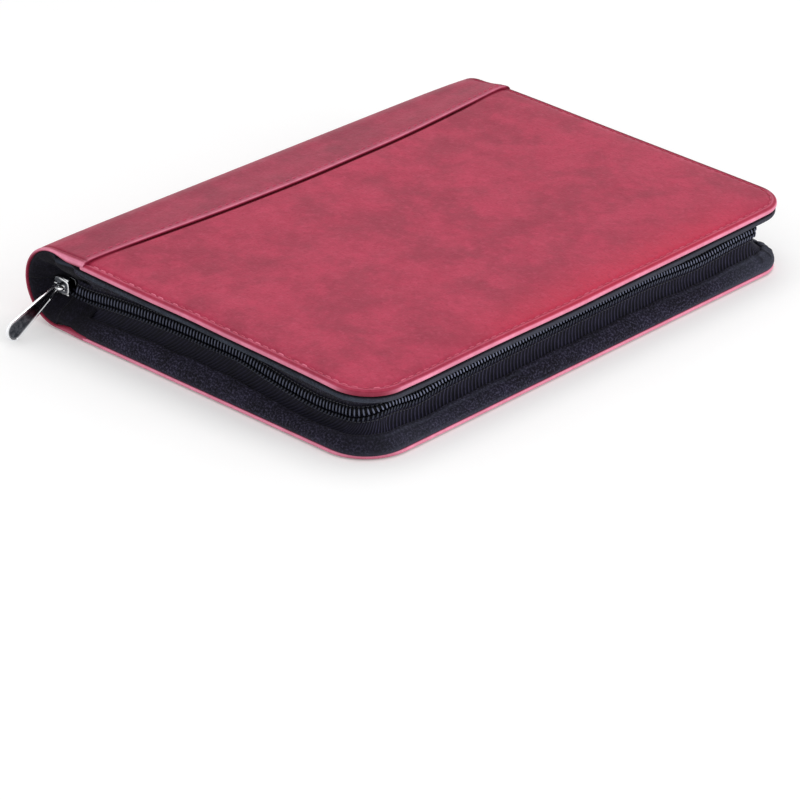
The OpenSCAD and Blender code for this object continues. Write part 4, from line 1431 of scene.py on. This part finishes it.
def pullTab():
    # Rings from the outline over the rolled edge, down inside the rim and in to the hole, the same on
    # both faces, then turned to the pull's lean
    outline = pullRing()
    normal = outlineNormals(outline)
    reachOut = np.linalg.norm(outline, axis=1)[:, None]
    hole = pull["hole"] * outline / reachOut
    room = reachOut - pull["hole"]
    sunk = pull["sunk"] * smoothStep((room - 2.2) / 3)
    half = pull["thick"] / 2
    rings, heights = [], []
    for inset, height in [(0, 0.0), (0.02, 0.35), (0.14, 0.55), (0.32, half)]:
        rings.append(outline - normal * np.minimum(inset, 0.3 * room))
        heights.append(height + 0 * sunk)
    for inset, level in [(pull["rim"], 0.0), (pull["rim"] + 0.22, 1.0), (pull["rim"] + 0.8, 1.0)]:
        rings.append(outline - normal * np.minimum(inset, (0.34 + 0.1 * level) * room))
        heights.append(half - level * sunk)
    for part in (0.5, 0.12, 0.0):
        rings.append(hole + (rings[6] - hole) * part + (hole / pull["hole"]) * 0.2 * (part > 0) * (part < 0.2))
        heights.append(half - sunk)
    front = np.concatenate([np.stack(rings), np.stack(heights)], -1)
    grid = np.concatenate([front, front[:0:-1] * [1, 1, -1]])
    lean = math.radians(pull["lean"])
    down, over = np.array([0, -math.sin(lean), -math.cos(lean)]), np.array([0, -math.cos(lean), math.sin(lean)])
    pivot = np.array([pull["x"], bridge["y"], bridge["z"]])
    grid = pivot + grid[..., :1] * down + grid[..., 1:2] * over + grid[..., 2:] * np.array([1.0, 0, 0])
    # rims polished bright, partly a painted highlight, and the sunk faces dark
    inRim = np.array([1, 1, 1, 1, 1, 0.25, 0, 0, 0.5, 1])
    return gridPiece("pullTab", grid, marks={"rim": np.concatenate([inRim, inRim[:0:-1]])[:, None]}, closeRows=True,
                     closeCols=True, angle=35)


def zipEndStop():
    # A crimped block over the coil's last turns, with a ridge at each end
    (x0, y0, z0), (x1, y1, z1) = corners("zip_end_stop")
    block = roundBlock([x0 + 0.2, y0 + 0.3, z0 + 0.3], [x1 - 0.2, y1, z1 - 0.3], 0.5, paintedShine=0.0)
    # the ridges get a faint painted highlight and the block none
    ridges = [roundBlock([x, y0 + 0.2, z0], [x + 0.9, y1 + 0.25, z1], 0.3, paintedShine=0.2) for x in (x0, x0 + 2.1)]
    return joined("zipEndStop", [block] + ridges, "paintedGlint", angle=50)


fitOn(sliderBody(), brightMetal, "metal", "slider", "slider_body")
fitOn(sliderBridge(), brightMetal, "metal", "slider", "slider_bridge")
fitOn(pullTab(), brightMetal, "metal", "pull", "pull_tab")
fitOn(zipEndStop(), zipNylon, "metal", "back_half", "zip_end_stop")
print("slider, pull and stop are cast")


# Pockets and pen loop

pockets = {
    "document": ((-44, -104, 0.0), (87, 104, 0.6)),          # box of the flat pocket inside the front cover
    "card": {"count": 3, "x": 28, "step": 14, "deep": 52, "y": (-100, -8), "thick": 0.6},
    "hem": 0.22, "hemWidth": 4.6,    # the bound mouth's height and width
    "seam": 0.18, "seamIn": 1.7,     # the sewn line's depth, and its distance in
}


def pocketPanel(name, low, high, place, body, node, bulge=0.3):
    # A pocket's front: a thin panel that swells a little in the middle, with a bound edge at its mouth
    # (towards the spine) and a sunk seam round the other three sides
    wide, deep, tall = high[0] - low[0], high[1] - low[1], high[2] - low[2]
    ends = np.array([2.2, 1.7, 1.2, 0.6, 0.2, 0])
    u = np.concatenate([[0, 0.15, 0.5, 1.0, 2.0, 4.5, 5.0, 5.5, 6.2], np.linspace(8, wide - 3, 26), wide - ends])
    v = np.concatenate([ends[::-1], np.linspace(3.2, deep - 3.2, 40), deep - ends])
    x, y = np.meshgrid(low[0] + u, low[1] + v, indexing="ij")
    side = np.minimum(np.minimum(high[0] - x, y - low[1]), high[1] - y)
    mouth = x - low[0]
    hem = pockets["hem"] * smoothStep(mouth / 0.6) * (1 - smoothStep((mouth - pockets["hemWidth"]) / 0.7))
    seam = pockets["seam"] * hump(side - pockets["seamIn"], 0.4)
    puff = bulge * smoothStep(side / 14) * (0.7 + 0.3 * ripple(x, y, 45, len(name))) * np.exp(-mouth / 60)
    edge = np.sqrt(1 - (1 - np.clip(np.minimum(side, mouth) / 0.5, 0, 1)) ** 2)
    upper = low[2] + tall * (0.35 + 0.65 * edge) + hem + puff * 0.6 - seam
    shells = [place(np.stack([x, y, z], -1)) for z in (upper, low[2] + 0 * x)]
    fitOn(shellPiece(name, *shells, angle=50), twillLining, "lining", body, node)


def underFront(points):
    # Inside the front cover: heights run down from the cover's inner face
    return onFront(points * [1, 1, -1])


pocketPanel("documentPocket", *pockets["document"], underFront, "front_half", "document_pocket")
card = pockets["card"]
for k in range(1, card["count"] + 1):
    start = card["x"] - card["step"] * k
    pocketPanel(f"cardPocket{k}", (start, card["y"][0], card["thick"] * k),
                (start + card["deep"], card["y"][1], card["thick"] * (k + 1)), underFront, "front_half",
                f"card_pocket_{k}", 0.1)
pocketPanel("notepadSleeve", *corners("notepad_sleeve"), lambda p: p, "back_half", "notepad_sleeve")

elastic = {"thick": 1.0, "rib": 0.06, "ribPitch": 1.3}


def penLoop():
    # An elastic band sewn into a loop: a ring section with ribs along it, carried round
    (x0, _, z0), (x1, ends, z1) = corners("pen_loop")
    radius, half, rib = (z1 - z0) / 2, elastic["thick"] / 2, elastic["rib"]
    a = np.linspace(0, 2 * math.pi, 72, endpoint=False)[:, None]
    y = np.concatenate([[-ends, -ends + 0.1, -ends + 0.3], np.linspace(-ends + 0.6, ends - 0.6, 70),
                        [ends - 0.3, ends - 0.1, ends]])
    edge = np.sqrt(np.clip(1 - (1 - np.clip((ends - np.abs(y)) / 0.3, 0, 1)) ** 2, 0, 1))
    ribs = rib * np.cos(y * 2 * math.pi / elastic["ribPitch"])
    outer = radius - half + half * edge + ribs * edge - rib
    inner = radius - half - half * edge
    r = np.concatenate([outer, inner[::-1]])[None]
    y = np.concatenate([y, y[::-1]])[None]
    grid = np.stack([(x0 + x1) / 2 + r * np.sin(a), y + 0 * a, (z0 + z1) / 2 + r * np.cos(a)], -1)
    return gridPiece("penLoop", grid, closeRows=True, closeCols=True, angle=60)


fitOn(penLoop(), twillLining, "lining", "back_half", "pen_loop")
for kind in layers:   # the layers under the back cover's leather keep their solids
    dress(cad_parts["back_" + kind], layers[kind]["finish"], kind)
print("inside is fitted")


# Camera, light and floor

view = {   # the camera: its place in metres, its three axes, its lens and how far it sees
    "place": (0.8677, -0.9147, 0.5963), "right": (0.7228, 0.6911, 0.0), "up": (-0.3145, 0.3289, 0.8905),
    "back": (0.6154, -0.6436, 0.4551), "lens": 160.34, "sensor": 36, "farthest": 20,
}
studio = {
    "sky": 0.62,               # the sky's light
    "floor": (0.86, 0.88), "floorGlow": 0.19, "floorSize": 6,
    "lamps": {   # place and size in metres, and power
        "overhead": ((-0.1, 0.15, 1.3), 1.1, 5.0),
        "frontLeft": ((0.1, -1.3, 0.7), 0.8, 1.9),
        "frontRight": ((1.3, 0.1, 0.6), 0.8, 5.0),
    },
}
white, black = (1, 1, 1, 1), (0, 0, 0, 1)


def placed(name, data, place, axes):
    # An object at a place, turned to three given axes
    obj = bpy.data.objects.new(name, data)
    bpy.context.scene.collection.objects.link(obj)
    obj.matrix_world = Matrix.Translation(place) @ Matrix(np.array(axes).T.tolist()).to_4x4()
    return obj


def softbox(name, place, size, power):
    # A square lamp that faces the case
    lamp = bpy.data.lights.new(name, "AREA")
    lamp.shape, lamp.size, lamp.energy = "SQUARE", size, power
    away = np.array(place) / np.linalg.norm(place)
    side = np.cross([0.0, 1.0, 0.02], away)
    side /= np.linalg.norm(side)
    placed(name, lamp, place, [side, np.cross(away, side), away])


camera = placed("camera", bpy.data.cameras.new("camera"), view["place"], [view[k] for k in ("right", "up", "back")])
camera.data.lens, camera.data.sensor_width, camera.data.clip_end = view["lens"], view["sensor"], view["farthest"]
bpy.context.scene.camera = camera
for name, lamp in studio["lamps"].items():
    softbox(name, *lamp)

sky = Finish("studio", "worlds")
lit, seen = (sky.node("ShaderNodeBackground", {}, {"Color": white, "Strength": level})
             for level in (studio["sky"], 1.0))
sky.node("ShaderNodeOutputWorld", {},
         {"Surface": sky.node("ShaderNodeMixShader", {}, {0: sky.watched(), 1: lit, 2: seen})})
bpy.context.scene.world = sky.owner

floorMesh = bpy.data.meshes.new("floor")
reach = studio["floorSize"]
floorMesh.from_pydata([(-reach, -reach, 0), (reach, -reach, 0), (reach, reach, 0), (-reach, reach, 0)], [],
                      [(0, 1, 2, 3)])
floor = bpy.data.objects.new("floor", floorMesh)
bpy.context.scene.collection.objects.link(floor)
paint = Finish("floor")
grain = paint.mix(paint.noise(paint.place(), 40), *((level, level, level, 1) for level in studio["floor"]))
dress(floor, paint.surface(BaseColor=grain, Roughness=0.9, SpecularIORLevel=0.1,
                           EmissionColor=paint.mix(paint.watched(), black, white),
                           EmissionStrength=studio["floorGlow"]))

bpy.context.scene.view_settings.view_transform = "Standard"
print("scene is set")
